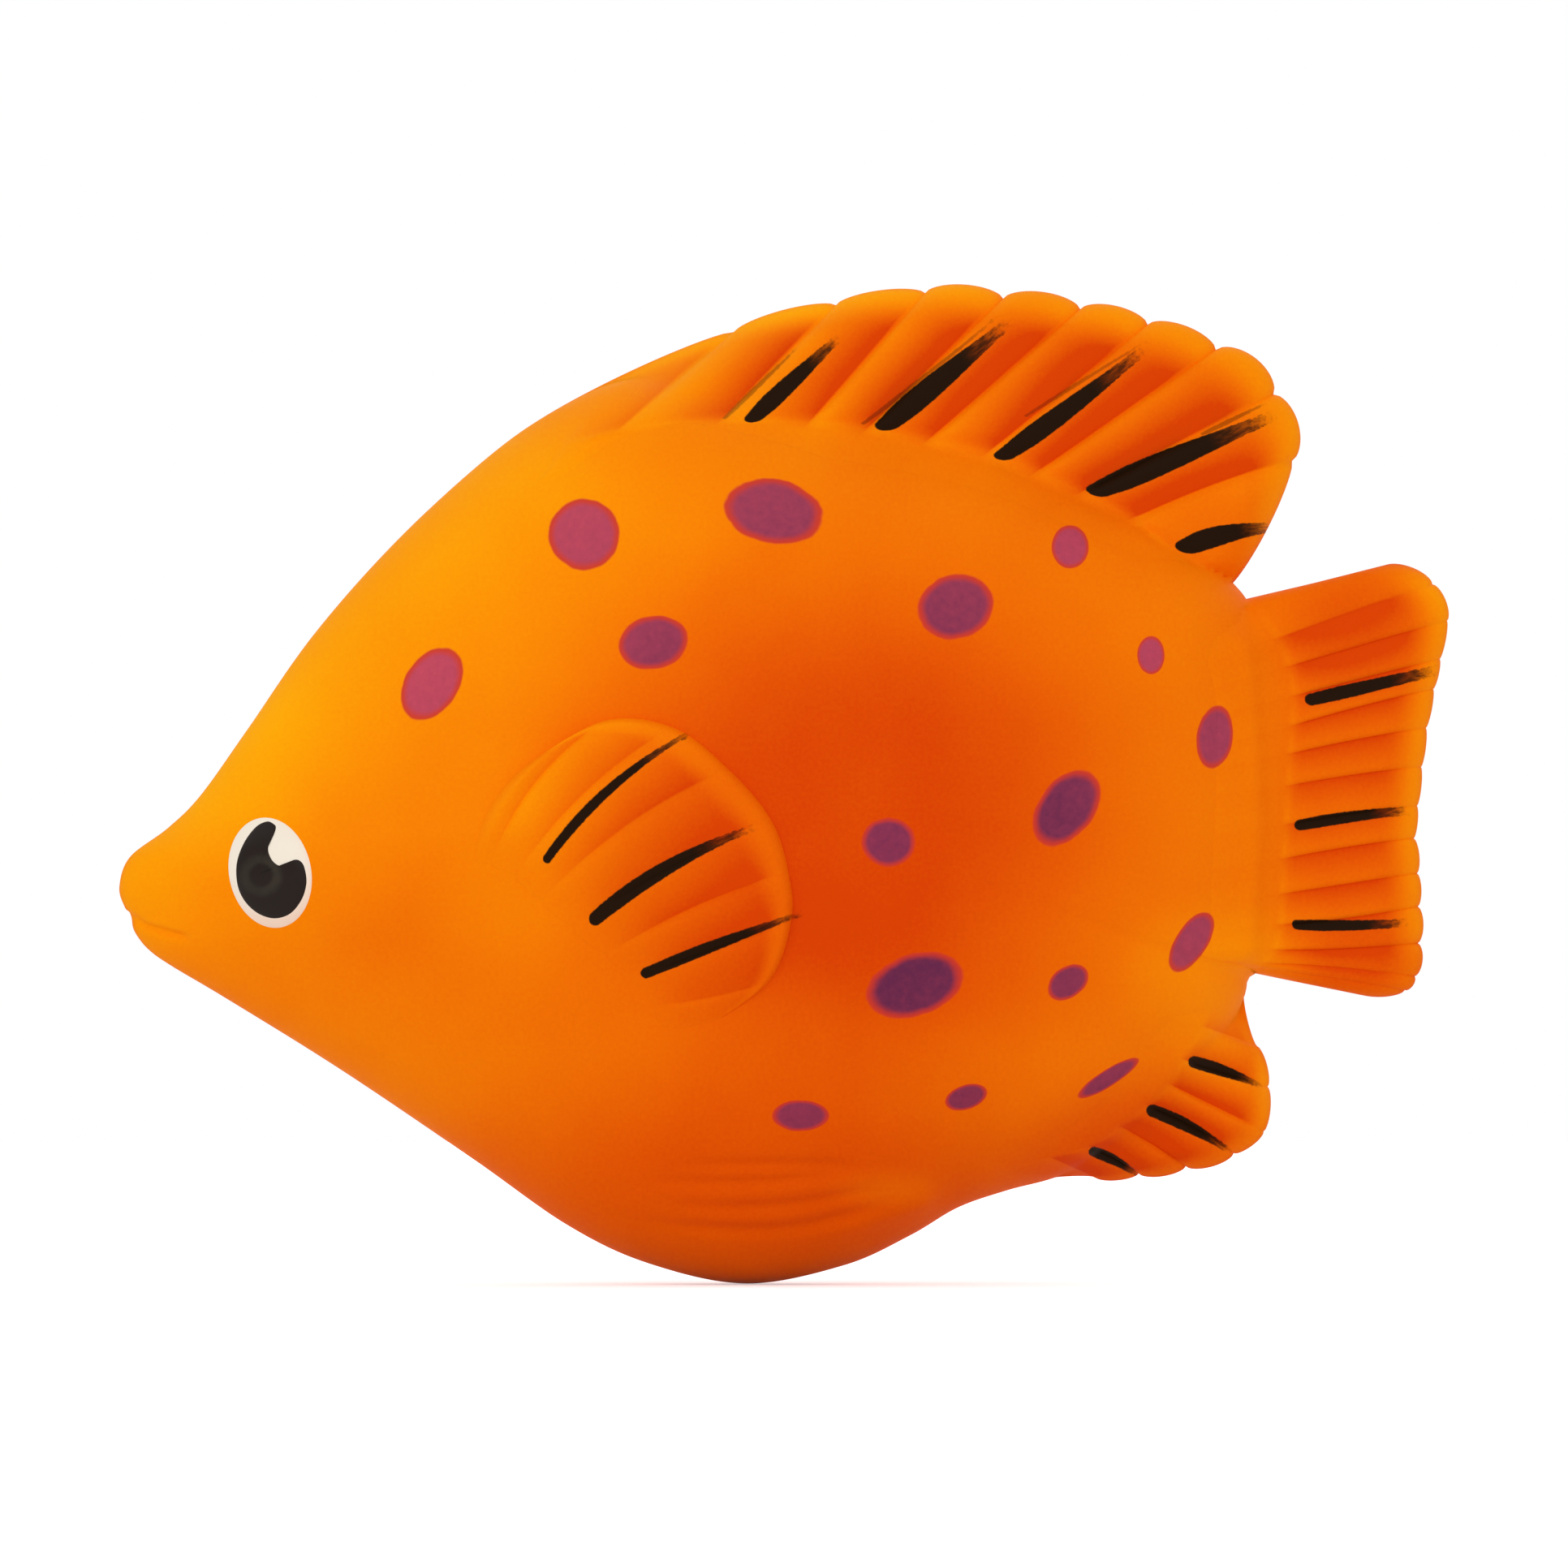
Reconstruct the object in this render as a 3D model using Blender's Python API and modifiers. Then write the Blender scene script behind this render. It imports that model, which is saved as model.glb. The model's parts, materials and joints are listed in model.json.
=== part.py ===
"""Fish squeeze toy: a domed foam body whose flanks press in and whose three fins bend at their roots.

Frame: nose towards -X, tail towards +X, left side towards -Y, +Z up, belly flat at Z = 0.
"""
from math import atan2, cos, hypot, pi, radians, sin, sqrt, tan

import bmesh
import bpy
import numpy as np
from mathutils import Matrix, Vector

MM = 0.001

# Body: nose to tail root, belly to back, flank to flank
BODY_LENGTH = 90.0 * MM
BODY_HEIGHT = 73.4 * MM
BODY_THICKNESS = 38.6 * MM
NOSE_THICKNESS = 16.0 * MM
REAR_THICKNESS = 31.0 * MM
HEAD_TAPER_LENGTH = 45.0 * MM
BELLY_FLAT_DEPTH = 1.2 * MM

# Gap that neighbouring pieces keep
CLEARANCE = 0.3 * MM

# Flank: what the rim keeps around the oval that is pressed in, and the foam between the two flanks
HEAD_LENGTH = 20.0 * MM
RIM_TOP = 13.3 * MM
RIM_BOTTOM = 9.0 * MM
RIM_REAR = 8.4 * MM
CORE_THICKNESS = 17.0 * MM

# Mouth slit round the snout
MOUTH_LENGTH = 5.2 * MM
MOUTH_GAPE = 0.8 * MM
MOUTH_SLOPE = 13.0

# Eye and pupil
EYE_WIDTH = 6.8 * MM
EYE_HEIGHT = 8.7 * MM
EYE_LEAN = 12.0
EYE_THICKNESS = 0.6 * MM
PUPIL_WIDTH = 5.4 * MM
PUPIL_HEIGHT = 7.3 * MM
PUPIL_THICKNESS = 0.5 * MM
HIGHLIGHT_RADIUS = 1.5 * MM

# Side fins on the flanks and under the belly
PECTORAL_REACH = 20.9 * MM
PECTORAL_EDGE = 1.9 * MM
PECTORAL_ROOT = 0.5 * MM
PELVIC_LENGTH = 24.0 * MM
PELVIC_HEIGHT = 4.6 * MM
PELVIC_THICKNESS = 0.9 * MM

# Bending fins: reach from the root axis, round root that sits in the body, round edge
DORSAL_HEIGHT = 15.1 * MM
DORSAL_ROOT = 3.2 * MM
DORSAL_EDGE = 1.8 * MM
DORSAL_BEND = 20.0
TAIL_LENGTH = 13.8 * MM
TAIL_ROOT = 3.4 * MM
TAIL_EDGE = 1.8 * MM
TAIL_BEND = 25.0
ANAL_HEIGHT = 8.5 * MM
ANAL_ROOT = 2.6 * MM
ANAL_EDGE = 1.5 * MM
ANAL_BEND = 20.0
SCALLOP = 0.9 * MM
RAY_DEPTH = 0.55 * MM

# Angle that a fin's groove opens beyond the bend of the fin
GROOVE_SPARE = 2.0
GROOVE_REACH = 12.0 * MM

# Body outline seen from the left, as shares of length from the nose and of height from the belly
BODY_OUTLINE = (
    (0.000, 0.426), (0.017, 0.467), (0.053, 0.503), (0.112, 0.600), (0.223, 0.763), (0.324, 0.888),
    (0.410, 0.961), (0.462, 0.990), (0.500, 1.000), (0.532, 0.993), (0.563, 0.968), (0.611, 0.931),
    (0.681, 0.900), (0.764, 0.868), (0.896, 0.791), (0.950, 0.750), (0.980, 0.703), (0.994, 0.592),
    (1.000, 0.506), (0.993, 0.403), (0.960, 0.321), (0.896, 0.210), (0.805, 0.133), (0.708, 0.079),
    (0.622, 0.027), (0.535, 0.000), (0.442, 0.030), (0.341, 0.105), (0.140, 0.274), (0.040, 0.356),
    (0.012, 0.390),
)
BODY_CENTRE = (0.563, 0.506)
SECTION_POWER = 2.4

# Places on the body in the same shares: fin root axes from end to end, mouth, eye, side fins
DORSAL_SEAT = ((0.530, 0.957), (0.923, 0.780))
TAIL_SEAT = ((0.972, 0.695), (0.972, 0.351))
ANAL_SEAT = ((0.941, 0.283), (0.819, 0.141))
MOUTH_PLACE = (0.010, 0.394)
EYE_PLACE = (0.129, 0.442)
PECTORAL_PLACE = (0.349, 0.373)
PELVIC_PLACE = (0.559, 0.070)

# Fin outlines: shares of the root's length along it, and of the fin's reach out from it
DORSAL_OUTLINE = (
    (0.00, 0.30), (0.13, 0.55), (0.29, 0.76), (0.44, 0.87), (0.60, 0.95), (0.74, 1.00), (0.89, 0.99),
    (1.03, 0.88), (1.11, 0.59), (1.10, 0.38), (1.03, 0.22),
)
TAIL_OUTLINE = (
    (-0.02, 0.20), (-0.15, 0.42), (-0.205, 0.66), (-0.15, 0.90), (-0.055, 1.00), (0.15, 0.94),
    (0.425, 0.87), (0.575, 0.84), (0.825, 0.86), (1.025, 0.86), (1.09, 0.79), (1.12, 0.66),
    (1.08, 0.42), (1.01, 0.20),
)
ANAL_OUTLINE = (
    (-0.01, 0.24), (-0.04, 0.40), (0.06, 0.69), (0.17, 0.92), (0.29, 0.99), (0.42, 0.93), (0.56, 0.86),
    (0.70, 0.68), (0.84, 0.49), (1.05, 0.20),
)
# Side fin outline round its root: angle in degrees and share of the fin's reach
PECTORAL_OUTLINE = (
    (-57, 0.27), (-30, 0.67), (-18, 0.81), (-8, 0.89), (4, 0.95), (16, 0.99), (28, 1.00), (39, 0.98),
    (52, 0.95), (69, 0.86), (87, 0.68), (111, 0.42), (150, 0.20), (225, 0.12), (303, 0.27),
)
PECTORAL_RAYS = 9
PELVIC_RAYS = 4

# Mesh fineness, and how near two points are one
MERGE = 0.002 * MM
SPAN_STEPS = 3
BODY_ROWS = 9
OVAL_STEPS = 48

ORANGE = (0.92, 0.24, 0.01)
RED_ORANGE = (0.78, 0.09, 0.004)
YELLOW_ORANGE = (0.98, 0.36, 0.01)
EYE_WHITE = (0.93, 0.90, 0.84)
PUPIL_BLACK = (0.012, 0.008, 0.008)
FOAM_YELLOW = (0.90, 0.62, 0.20)

# Places worked out from the sizes
TAIL_AXIS_SHARE = TAIL_SEAT[0][0]
OVERALL_LENGTH = TAIL_AXIS_SHARE * BODY_LENGTH + TAIL_LENGTH + SCALLOP
NOSE_X = -OVERALL_LENGTH / 2
BELLY_Z = -BELLY_FLAT_DEPTH


def on_body(shares):
    """Place in X and Z of a point given in shares of the body's length and height."""
    return NOSE_X + shares[0] * BODY_LENGTH, BELLY_Z + shares[1] * BODY_HEIGHT


def curve_point(points, share, closed=False):
    """Catmull-Rom curve through the points, with share running from 0 to 1 along it."""
    count = len(points)
    spans = count if closed else count - 1
    place = min(max(share, 0.0), 1.0) * spans
    span = min(int(place), spans - 1)
    f = place - span

    def pick(index):
        return points[index % count] if closed else points[min(max(index, 0), count - 1)]

    a, b, c, d = (pick(span + step) for step in (-1, 0, 1, 2))
    weights = (
        -0.5 * f + f * f - 0.5 * f ** 3,
        1.0 - 2.5 * f * f + 1.5 * f ** 3,
        0.5 * f + 2.0 * f * f - 1.5 * f ** 3,
        -0.5 * f * f + 0.5 * f ** 3,
    )
    return tuple(sum(w * p[axis] for w, p in zip(weights, (a, b, c, d))) for axis in (0, 1))


BODY_POINTS = [on_body(point) for point in BODY_OUTLINE]
CENTRE_X, CENTRE_Z = on_body(BODY_CENTRE)


def outline_reach():
    """Angles and distances of the body outline, measured from the body's centre."""
    steps = 24 * len(BODY_POINTS)
    points = np.array([curve_point(BODY_POINTS, i / steps, closed=True) for i in range(steps)])
    away = points - (CENTRE_X, CENTRE_Z)
    angles = np.arctan2(away[:, 1], away[:, 0])
    order = np.argsort(angles)
    return angles[order], np.hypot(away[:, 0], away[:, 1])[order]


REACH_ANGLES, REACH_DISTANCES = outline_reach()


def fullness(x):
    """Half thickness at the middle of the body's section at x: thin at the nose, full, then tapered."""
    head = min(max((x - NOSE_X) / HEAD_TAPER_LENGTH, 0.0), 1.0)
    half = BODY_THICKNESS / 2 - (BODY_THICKNESS - NOSE_THICKNESS) / 2 * (1.0 - head) ** 1.6
    rear_length = BODY_LENGTH - HEAD_TAPER_LENGTH
    rear = min(max((x - NOSE_X - HEAD_TAPER_LENGTH) / rear_length, 0.0), 1.0)
    return half - (BODY_THICKNESS - REAR_THICKNESS) / 2 * rear * rear


def half_thickness(x, z):
    """Height of the domed side over the middle plane at (x, z)."""
    angle = atan2(z - CENTRE_Z, x - CENTRE_X)
    reach = np.interp(angle, REACH_ANGLES, REACH_DISTANCES, period=2 * pi)
    share = min(hypot(x - CENTRE_X, z - CENTRE_Z) / reach, 1.0)
    return fullness(x) * sqrt(1.0 - share ** SECTION_POWER)


def above_skin(x, z, lift, side):
    """Point that lies lift above the domed side at (x, z), square to it. Side is -1 left, +1 right."""
    step = 0.2 * MM
    slope_x = (half_thickness(x + step, z) - half_thickness(x - step, z)) / (2 * step)
    slope_z = (half_thickness(x, z + step) - half_thickness(x, z - step)) / (2 * step)
    share = lift / sqrt(1.0 + slope_x ** 2 + slope_z ** 2)
    return x - share * slope_x, side * (half_thickness(x, z) + share), z - share * slope_z


def beside_skin(x, z, lift, side):
    """Point that lies lift beside the domed side at (x, z), straight to the left or right."""
    return x, side * (half_thickness(x, z) + lift), z


for leftover in list(bpy.data.objects):
    bpy.data.objects.remove(leftover, do_unlink=True)

parts = bpy.data.collections.new("fish_stress_ball")
cutters = bpy.data.collections.new("cutters")
bpy.context.scene.collection.children.link(parts)
bpy.context.scene.collection.children.link(cutters)
fish = bpy.data.objects.new("fish", None)
parts.objects.link(fish)


def paint(obj, colour, roughness):
    """Give a piece its own painted foam finish."""
    material = bpy.data.materials.new(obj.name + "_finish")
    material.use_nodes = True
    shader = material.node_tree.nodes["Principled BSDF"]
    shader.inputs["Base Color"].default_value = (*colour, 1.0)
    shader.inputs["Roughness"].default_value = roughness
    shader.inputs["Metallic"].default_value = 0.0
    obj.data.materials.append(material)


def finish_mesh(bm, name, left_half=False):
    """Merge coincident points, turn the faces outwards and make the mesh.

    A left half is open at the middle plane, so its faces are turned to the left instead.
    """
    bmesh.ops.remove_doubles(bm, verts=bm.verts, dist=MERGE)
    bmesh.ops.recalc_face_normals(bm, faces=bm.faces)
    if left_half and sum(face.normal.y * face.calc_area() for face in bm.faces) > 0:
        bmesh.ops.reverse_faces(bm, faces=bm.faces)
    mesh = bpy.data.meshes.new(name)
    bm.to_mesh(mesh)
    bm.free()
    mesh.shade_smooth()
    mesh.set_sharp_from_angle(angle=radians(40))
    return mesh


def add_part(name, mesh, colour, roughness=0.5):
    """Put a named piece into the assembly."""
    obj = bpy.data.objects.new(name, mesh)
    parts.objects.link(obj)
    obj.parent = fish
    paint(obj, colour, roughness)
    return obj


def add_cutter(name, mesh):
    """Put a tool that only cuts another piece beside the assembly."""
    obj = bpy.data.objects.new(name, mesh)
    cutters.objects.link(obj)
    obj.hide_render = True
    obj.display_type = "WIRE"
    return obj


def cut(obj, tool):
    """Take the tool's space out of the piece."""
    modifier = obj.modifiers.new("cut_" + tool.name, "BOOLEAN")
    modifier.operation = "DIFFERENCE"
    modifier.solver = "EXACT"
    modifier.object = tool


def mirror_across_middle(obj):
    """Complete a left half with its right half."""
    modifier = obj.modifiers.new("both_sides", "MIRROR")
    modifier.use_axis = (False, True, False)
    modifier.merge_threshold = 0.00001


def bent_grid(columns, rows, place):
    """Grid whose two parameters, each from 0 to 1, are bent into a surface by place."""
    bm = bmesh.new()
    bmesh.ops.create_grid(bm, x_segments=columns, y_segments=rows, size=0.5)
    for vert in bm.verts:
        vert.co = place(vert.co.x + 0.5, vert.co.y + 0.5)
    return bm


def dome_mesh(name):
    """Left half of the whole body: the outline drawn in to its centre while it rises to the side."""
    def place(around, up):
        x, z = curve_point(BODY_POINTS, around, closed=True)
        share = cos(up * pi / 2) ** (2 / SECTION_POWER)
        x = CENTRE_X + share * (x - CENTRE_X)
        z = CENTRE_Z + share * (z - CENTRE_Z)
        return Vector((x, -fullness(x) * sin(up * pi / 2), z))

    grid = bent_grid(SPAN_STEPS * len(BODY_POINTS), BODY_ROWS, place)
    return finish_mesh(grid, name, left_half=True)


def pad_mesh(name, outline, pole, rings, floor, roof, side):
    """Closed pad between a floor and a roof, each drawn from its rim towards the pole.

    outline(share) is the rim in X and Z; floor and roof give a point from (x, z, ring, share).
    """
    columns, floor_rings, roof_rings = rings
    levels = [("floor", i / floor_rings) for i in range(floor_rings + 1)]
    levels += [("roof", 1.0 - i / roof_rings) for i in range(roof_rings + 1)]
    rows = len(levels) - 1

    def place(around, up):
        face, ring = levels[round(up * rows)]
        rim_x, rim_z = outline(around % 1.0)
        x = pole[0] + ring * (rim_x - pole[0])
        z = pole[1] + ring * (rim_z - pole[1])
        height = floor if face == "floor" else roof
        return Vector(height(x, z, ring, around % 1.0, side))

    return finish_mesh(bent_grid(columns, rows, place), name)


def oval(centre, half_width, half_height, lean=0.0):
    """Outline of an oval whose top leans towards the nose by lean degrees."""
    turn = radians(lean)

    def outline(share):
        along = half_width * cos(2 * pi * share)
        up = half_height * sin(2 * pi * share)
        return centre[0] + along * cos(turn) - up * sin(turn), centre[1] + along * sin(turn) + up * cos(turn)

    return outline


# Flank oval from what the rim keeps around it
FLANK_LEFT = NOSE_X + HEAD_LENGTH
FLANK_RIGHT = NOSE_X + BODY_LENGTH - RIM_REAR
FLANK_TOP = BELLY_Z + BODY_HEIGHT - RIM_TOP
FLANK_FOOT = BELLY_Z + RIM_BOTTOM
FLANK_CENTRE = ((FLANK_LEFT + FLANK_RIGHT) / 2, (FLANK_TOP + FLANK_FOOT) / 2)
FLANK_HALF_LENGTH = (FLANK_RIGHT - FLANK_LEFT) / 2
FLANK_HALF_HEIGHT = (FLANK_TOP - FLANK_FOOT) / 2
FLANK_BASE = CORE_THICKNESS / 2 + CLEARANCE


def oval_block(name, half_length, half_height, depth):
    """Straight oval block through the body, centred on the middle plane."""
    place = Matrix.Translation((FLANK_CENTRE[0], 0.0, FLANK_CENTRE[1]))
    stretch = Matrix.Diagonal((half_length, 1.0, half_height, 1.0))
    upright = Matrix.Rotation(pi / 2, 4, "X")
    bm = bmesh.new()
    bmesh.ops.create_cone(bm, cap_ends=True, segments=OVAL_STEPS, radius1=1.0, radius2=1.0, depth=depth,
                          matrix=place @ stretch @ upright)
    return finish_mesh(bm, name)


def flank(name, side):
    """Domed side that is pressed in: flat against the core, the body's own dome outside."""
    def floor(x, z, ring, share, side):
        return x, side * FLANK_BASE, z

    def roof(x, z, ring, share, side):
        return x, side * half_thickness(x, z), z

    outline = oval(FLANK_CENTRE, FLANK_HALF_LENGTH, FLANK_HALF_HEIGHT)
    mesh = pad_mesh(name, outline, FLANK_CENTRE, (OVAL_STEPS, 1, 7), floor, roof, side)
    add_part(name, mesh, ORANGE)


def skin_pad(name, outline, pole, rings, rise, lift, height, side, colour, roughness=0.5):
    """Raised feature of the skin: its floor lies lift above the dome, its roof height above the floor.

    rise is the way up, square to the skin or straight to the side.
    """
    def floor(x, z, ring, share, side):
        return rise(x, z, lift, side)

    def roof(x, z, ring, share, side):
        return rise(x, z, lift + height(ring, share), side)

    add_part(name, pad_mesh(name, outline, pole, rings, floor, roof, side), colour, roughness)


EYE_CENTRE = on_body(EYE_PLACE)


def eye(name, side):
    """Oval eye white with a rounded rim."""
    def height(ring, share):
        return EYE_THICKNESS * (1.0 - 0.45 * ring ** 6)

    outline = oval(EYE_CENTRE, EYE_WIDTH / 2, EYE_HEIGHT / 2, EYE_LEAN)
    skin_pad(name, outline, EYE_CENTRE, (32, 2, 5), beside_skin, CLEARANCE, height, side, EYE_WHITE, 0.35)


def pupil_outline(share):
    """Oval pupil with a round highlight bitten out of its upper rear side."""
    turn = radians(EYE_LEAN)
    angle = 2 * pi * share
    half_width, half_height = PUPIL_WIDTH / 2, PUPIL_HEIGHT / 2
    reach = half_width * half_height / hypot(half_height * cos(angle), half_width * sin(angle))
    bite_angle = radians(50)
    bite_distance = half_width * 0.9
    off = bite_distance * sin(angle - bite_angle)
    if abs(off) < HIGHLIGHT_RADIUS and cos(angle - bite_angle) > 0:
        near = bite_distance * cos(angle - bite_angle) - sqrt(HIGHLIGHT_RADIUS ** 2 - off ** 2)
        reach = min(reach, near)
    return EYE_CENTRE[0] + reach * cos(angle + turn), EYE_CENTRE[1] + reach * sin(angle + turn)


def pupil(name, side):
    """Dark pupil lying on the eye white."""
    def height(ring, share):
        return PUPIL_THICKNESS * (1.0 - 0.4 * ring ** 6)

    lift = CLEARANCE + EYE_THICKNESS + CLEARANCE
    skin_pad(name, pupil_outline, EYE_CENTRE, (48, 2, 4), beside_skin, lift, height, side, PUPIL_BLACK, 0.3)


PECTORAL_POLE = on_body(PECTORAL_PLACE)


def pectoral_outline(share):
    """Rim of the side fin, swept round its root: short in front, long over the flank behind."""
    angle, reach = curve_point(PECTORAL_OUTLINE, share)
    turn = radians(angle)
    distance = reach * PECTORAL_REACH
    return PECTORAL_POLE[0] + distance * cos(turn), PECTORAL_POLE[1] + distance * sin(turn)


def pectoral_fin(name, side):
    """Side fin that lifts off the flank towards its rear edge, ridged by rays from its root."""
    def height(ring, share):
        lifted = PECTORAL_ROOT + (PECTORAL_EDGE - PECTORAL_ROOT) * ring * ring * sin(pi * share)
        ridge = RAY_DEPTH * ring * sin(pi * share) * cos(pi * PECTORAL_RAYS * share) ** 2
        rounded = 1.0 - 0.35 * ring ** 12
        return max(PECTORAL_ROOT, (lifted - ridge) * rounded)

    rings = (4 * PECTORAL_RAYS, 4, 7)
    skin_pad(name, pectoral_outline, PECTORAL_POLE, rings, above_skin, CLEARANCE, height, side,
             YELLOW_ORANGE)


PELVIC_CENTRE = on_body(PELVIC_PLACE)


def pelvic_outline(share):
    """Long low leaf under the belly, its rear tip swept up."""
    along = PELVIC_LENGTH / 2 * cos(2 * pi * share)
    up = PELVIC_HEIGHT / 2 * sin(2 * pi * share)
    sweep = PELVIC_HEIGHT * (along / PELVIC_LENGTH) ** 2
    return PELVIC_CENTRE[0] + along, PELVIC_CENTRE[1] + up + sweep


def pelvic_fin(name, side):
    """Low belly fin with ribs along it."""
    def height(ring, share):
        level = ring * sin(2 * pi * share)
        rib = 0.35 * sin(PELVIC_RAYS / 2 * pi * (level + 1.0)) ** 2
        return PELVIC_THICKNESS * (1.0 - rib - 0.3 * ring ** 8)

    skin_pad(name, pelvic_outline, PELVIC_CENTRE, (32, 3, 6), above_skin, CLEARANCE, height, side,
             RED_ORANGE)


class Fin:
    """Fin that bends about a straight root axis seated in the body.

    Along runs from one end of the axis to the other, out is square to it, away from the body.
    """

    def __init__(self, name, seat, bend, root, edge, reach, outline, lobes):
        self.name = name
        start, end = on_body(seat[0]), on_body(seat[1])
        self.start = Vector((start[0], 0.0, start[1]))
        run = Vector((end[0], 0.0, end[1])) - self.start
        self.length = run.length
        self.turn = atan2(-run.z, run.x)
        self.bend, self.root, self.edge, self.reach = bend, root, edge, reach
        self.outline = [(along * self.length, out * reach) for along, out in outline]
        self.lobes = lobes

    def place_object(self, obj):
        """Set an object's origin on the end of the root axis, its X along the axis, its Z out."""
        obj.location = self.start
        obj.rotation_euler = (0.0, self.turn, 0.0)

    def lobe_place(self, share):
        """Place within the row of lobes, whole numbers at the notches, or None beside the row."""
        first, last, count = self.lobes
        place = (share - first) / (last - first) * count
        return place if -0.001 < place < count + 0.001 else None

    def tip(self, share):
        """Edge of the fin at a share of its length, with its scallops."""
        along, out = curve_point(self.outline, share)
        foot = share * self.length
        lobe = self.lobe_place(share)
        if lobe is not None:
            size = hypot(along - foot, out)
            grow = SCALLOP * abs(sin(pi * lobe)) / size
            along += (along - foot) * grow
            out += out * grow
        return along, out

    def build(self, colour):
        """Round root, tapered ridged blade and round edge, as a left half and its mirror image."""
        blade = (0.0, 0.12, 0.4, 0.7, 0.9, 0.97, 1.0)
        arc = (-90, -60, -30)
        rows = len(arc) + len(blade) - 1
        first, last, count = self.lobes
        inner = [first + (last - first) * i / (4 * count) for i in range(4 * count + 1)]
        ends = (0.0, 0.006, 0.025)
        shares = sorted(set(ends) | {1.0 - end for end in ends} | set(inner)
                        | {end * first for end in (0.35, 0.7)}
                        | {1.0 - end * (1.0 - last) for end in (0.35, 0.7)})
        shares = [s for i, s in enumerate(shares) if i == 0 or s - shares[i - 1] > 0.004]
        columns = len(shares) - 1

        def place(run, rise):
            share = shares[round(run * columns)]
            row = round(rise * rows)
            end = min(share, 1.0 - share)
            side = sqrt(1.0 - (1.0 - min(end / ends[2], 1.0)) ** 2)
            foot = share * self.length
            if row < len(arc):
                angle = radians(arc[row])
                return Vector((foot, -side * self.root * cos(angle), self.root * sin(angle)))
            part = blade[row - len(arc)]
            along, out = self.tip(share)
            size = hypot(along - foot, out)
            half = self.root + (self.edge - self.root) * part
            rounding = min(self.edge / size, 0.45)
            near = max(part - (1.0 - rounding), 0.0) / rounding
            half *= sqrt(max(1.0 - near * near, 0.0))
            lobe = self.lobe_place(share)
            if lobe is not None:
                groove = cos(pi * lobe) ** 4
                half -= min(RAY_DEPTH, half / 2) * groove * min(part / 0.4, 1.0)
            return Vector((foot + part * (along - foot), -side * half, part * out))

        mesh = finish_mesh(bent_grid(columns, rows, place), self.name, left_half=True)
        obj = add_part(self.name, mesh, colour)
        self.place_object(obj)
        mirror_across_middle(obj)

    def groove(self):
        """Room in the body for the round root, opening outwards by the bend of the fin."""
        radius = self.root + CLEARANCE
        flare = radians(self.bend + GROOVE_SPARE)
        turns = [-flare - (pi - 2 * flare) * i / 10 for i in range(11)]
        section = [(radius * cos(turn), radius * sin(turn)) for turn in turns]
        mouth = radius / cos(flare) + GROOVE_REACH * tan(flare)
        section += [(-mouth, GROOVE_REACH), (mouth, GROOVE_REACH)]
        bm = bmesh.new()
        corners = [bm.verts.new((-CLEARANCE, across, out)) for across, out in section]
        face = bm.faces.new(corners)
        swept = bmesh.ops.extrude_face_region(bm, geom=[face])
        moved = [item for item in swept["geom"] if isinstance(item, bmesh.types.BMVert)]
        bmesh.ops.translate(bm, verts=moved, vec=(self.length + 2 * CLEARANCE, 0.0, 0.0))
        tool = add_cutter(self.name + "_groove", finish_mesh(bm, self.name + "_groove"))
        self.place_object(tool)
        return tool


def mouth_tool():
    """Slit that runs round the snout: a thin wedge with the inside of the snout left out of it."""
    x, z = on_body(MOUTH_PLACE)
    bm = bmesh.new()
    bmesh.ops.create_cube(bm, size=1.0)
    for vert in bm.verts:
        gape = MOUTH_GAPE if vert.co.x < 0 else MOUTH_GAPE / 3
        vert.co = Vector((2 * MOUTH_LENGTH * vert.co.x, BODY_THICKNESS * vert.co.y, gape * vert.co.z))
    tool = add_cutter("mouth_slit", finish_mesh(bm, "mouth_slit"))
    tool.location = (x, 0.0, z)
    tool.rotation_euler = (0.0, radians(MOUTH_SLOPE), 0.0)
    inside = add_cutter("snout_inside", dome_mesh("snout_inside"))
    mirror_across_middle(inside)
    shrink = Vector((1.0 - 2 * MOUTH_GAPE / BODY_LENGTH, 1.0 - 3 * MOUTH_GAPE / NOSE_THICKNESS,
                     1.0 - 2 * MOUTH_GAPE / BODY_LENGTH))
    inside.scale = shrink
    inside.location = (CENTRE_X * (1.0 - shrink.x), 0.0, CENTRE_Z * (1.0 - shrink.z))
    cut(tool, inside)
    return tool


def belly_tool():
    """Block below the floor that flattens the belly."""
    bm = bmesh.new()
    bmesh.ops.create_cube(bm, size=1.0)
    bmesh.ops.scale(bm, vec=(BODY_LENGTH, BODY_THICKNESS, BODY_HEIGHT), verts=bm.verts)
    tool = add_cutter("belly_flat", finish_mesh(bm, "belly_flat"))
    tool.location = (0.0, 0.0, -BODY_HEIGHT / 2)
    return tool


fins = (
    Fin("dorsal_fin", DORSAL_SEAT, DORSAL_BEND, DORSAL_ROOT, DORSAL_EDGE, DORSAL_HEIGHT, DORSAL_OUTLINE,
        (0.0, 0.8, 8)),
    Fin("tail_fin", TAIL_SEAT, TAIL_BEND, TAIL_ROOT, TAIL_EDGE, TAIL_LENGTH, TAIL_OUTLINE, (0.15, 0.85, 10)),
    Fin("anal_fin", ANAL_SEAT, ANAL_BEND, ANAL_ROOT, ANAL_EDGE, ANAL_HEIGHT, ANAL_OUTLINE, (0.1, 1.0, 6)),
)

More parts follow.
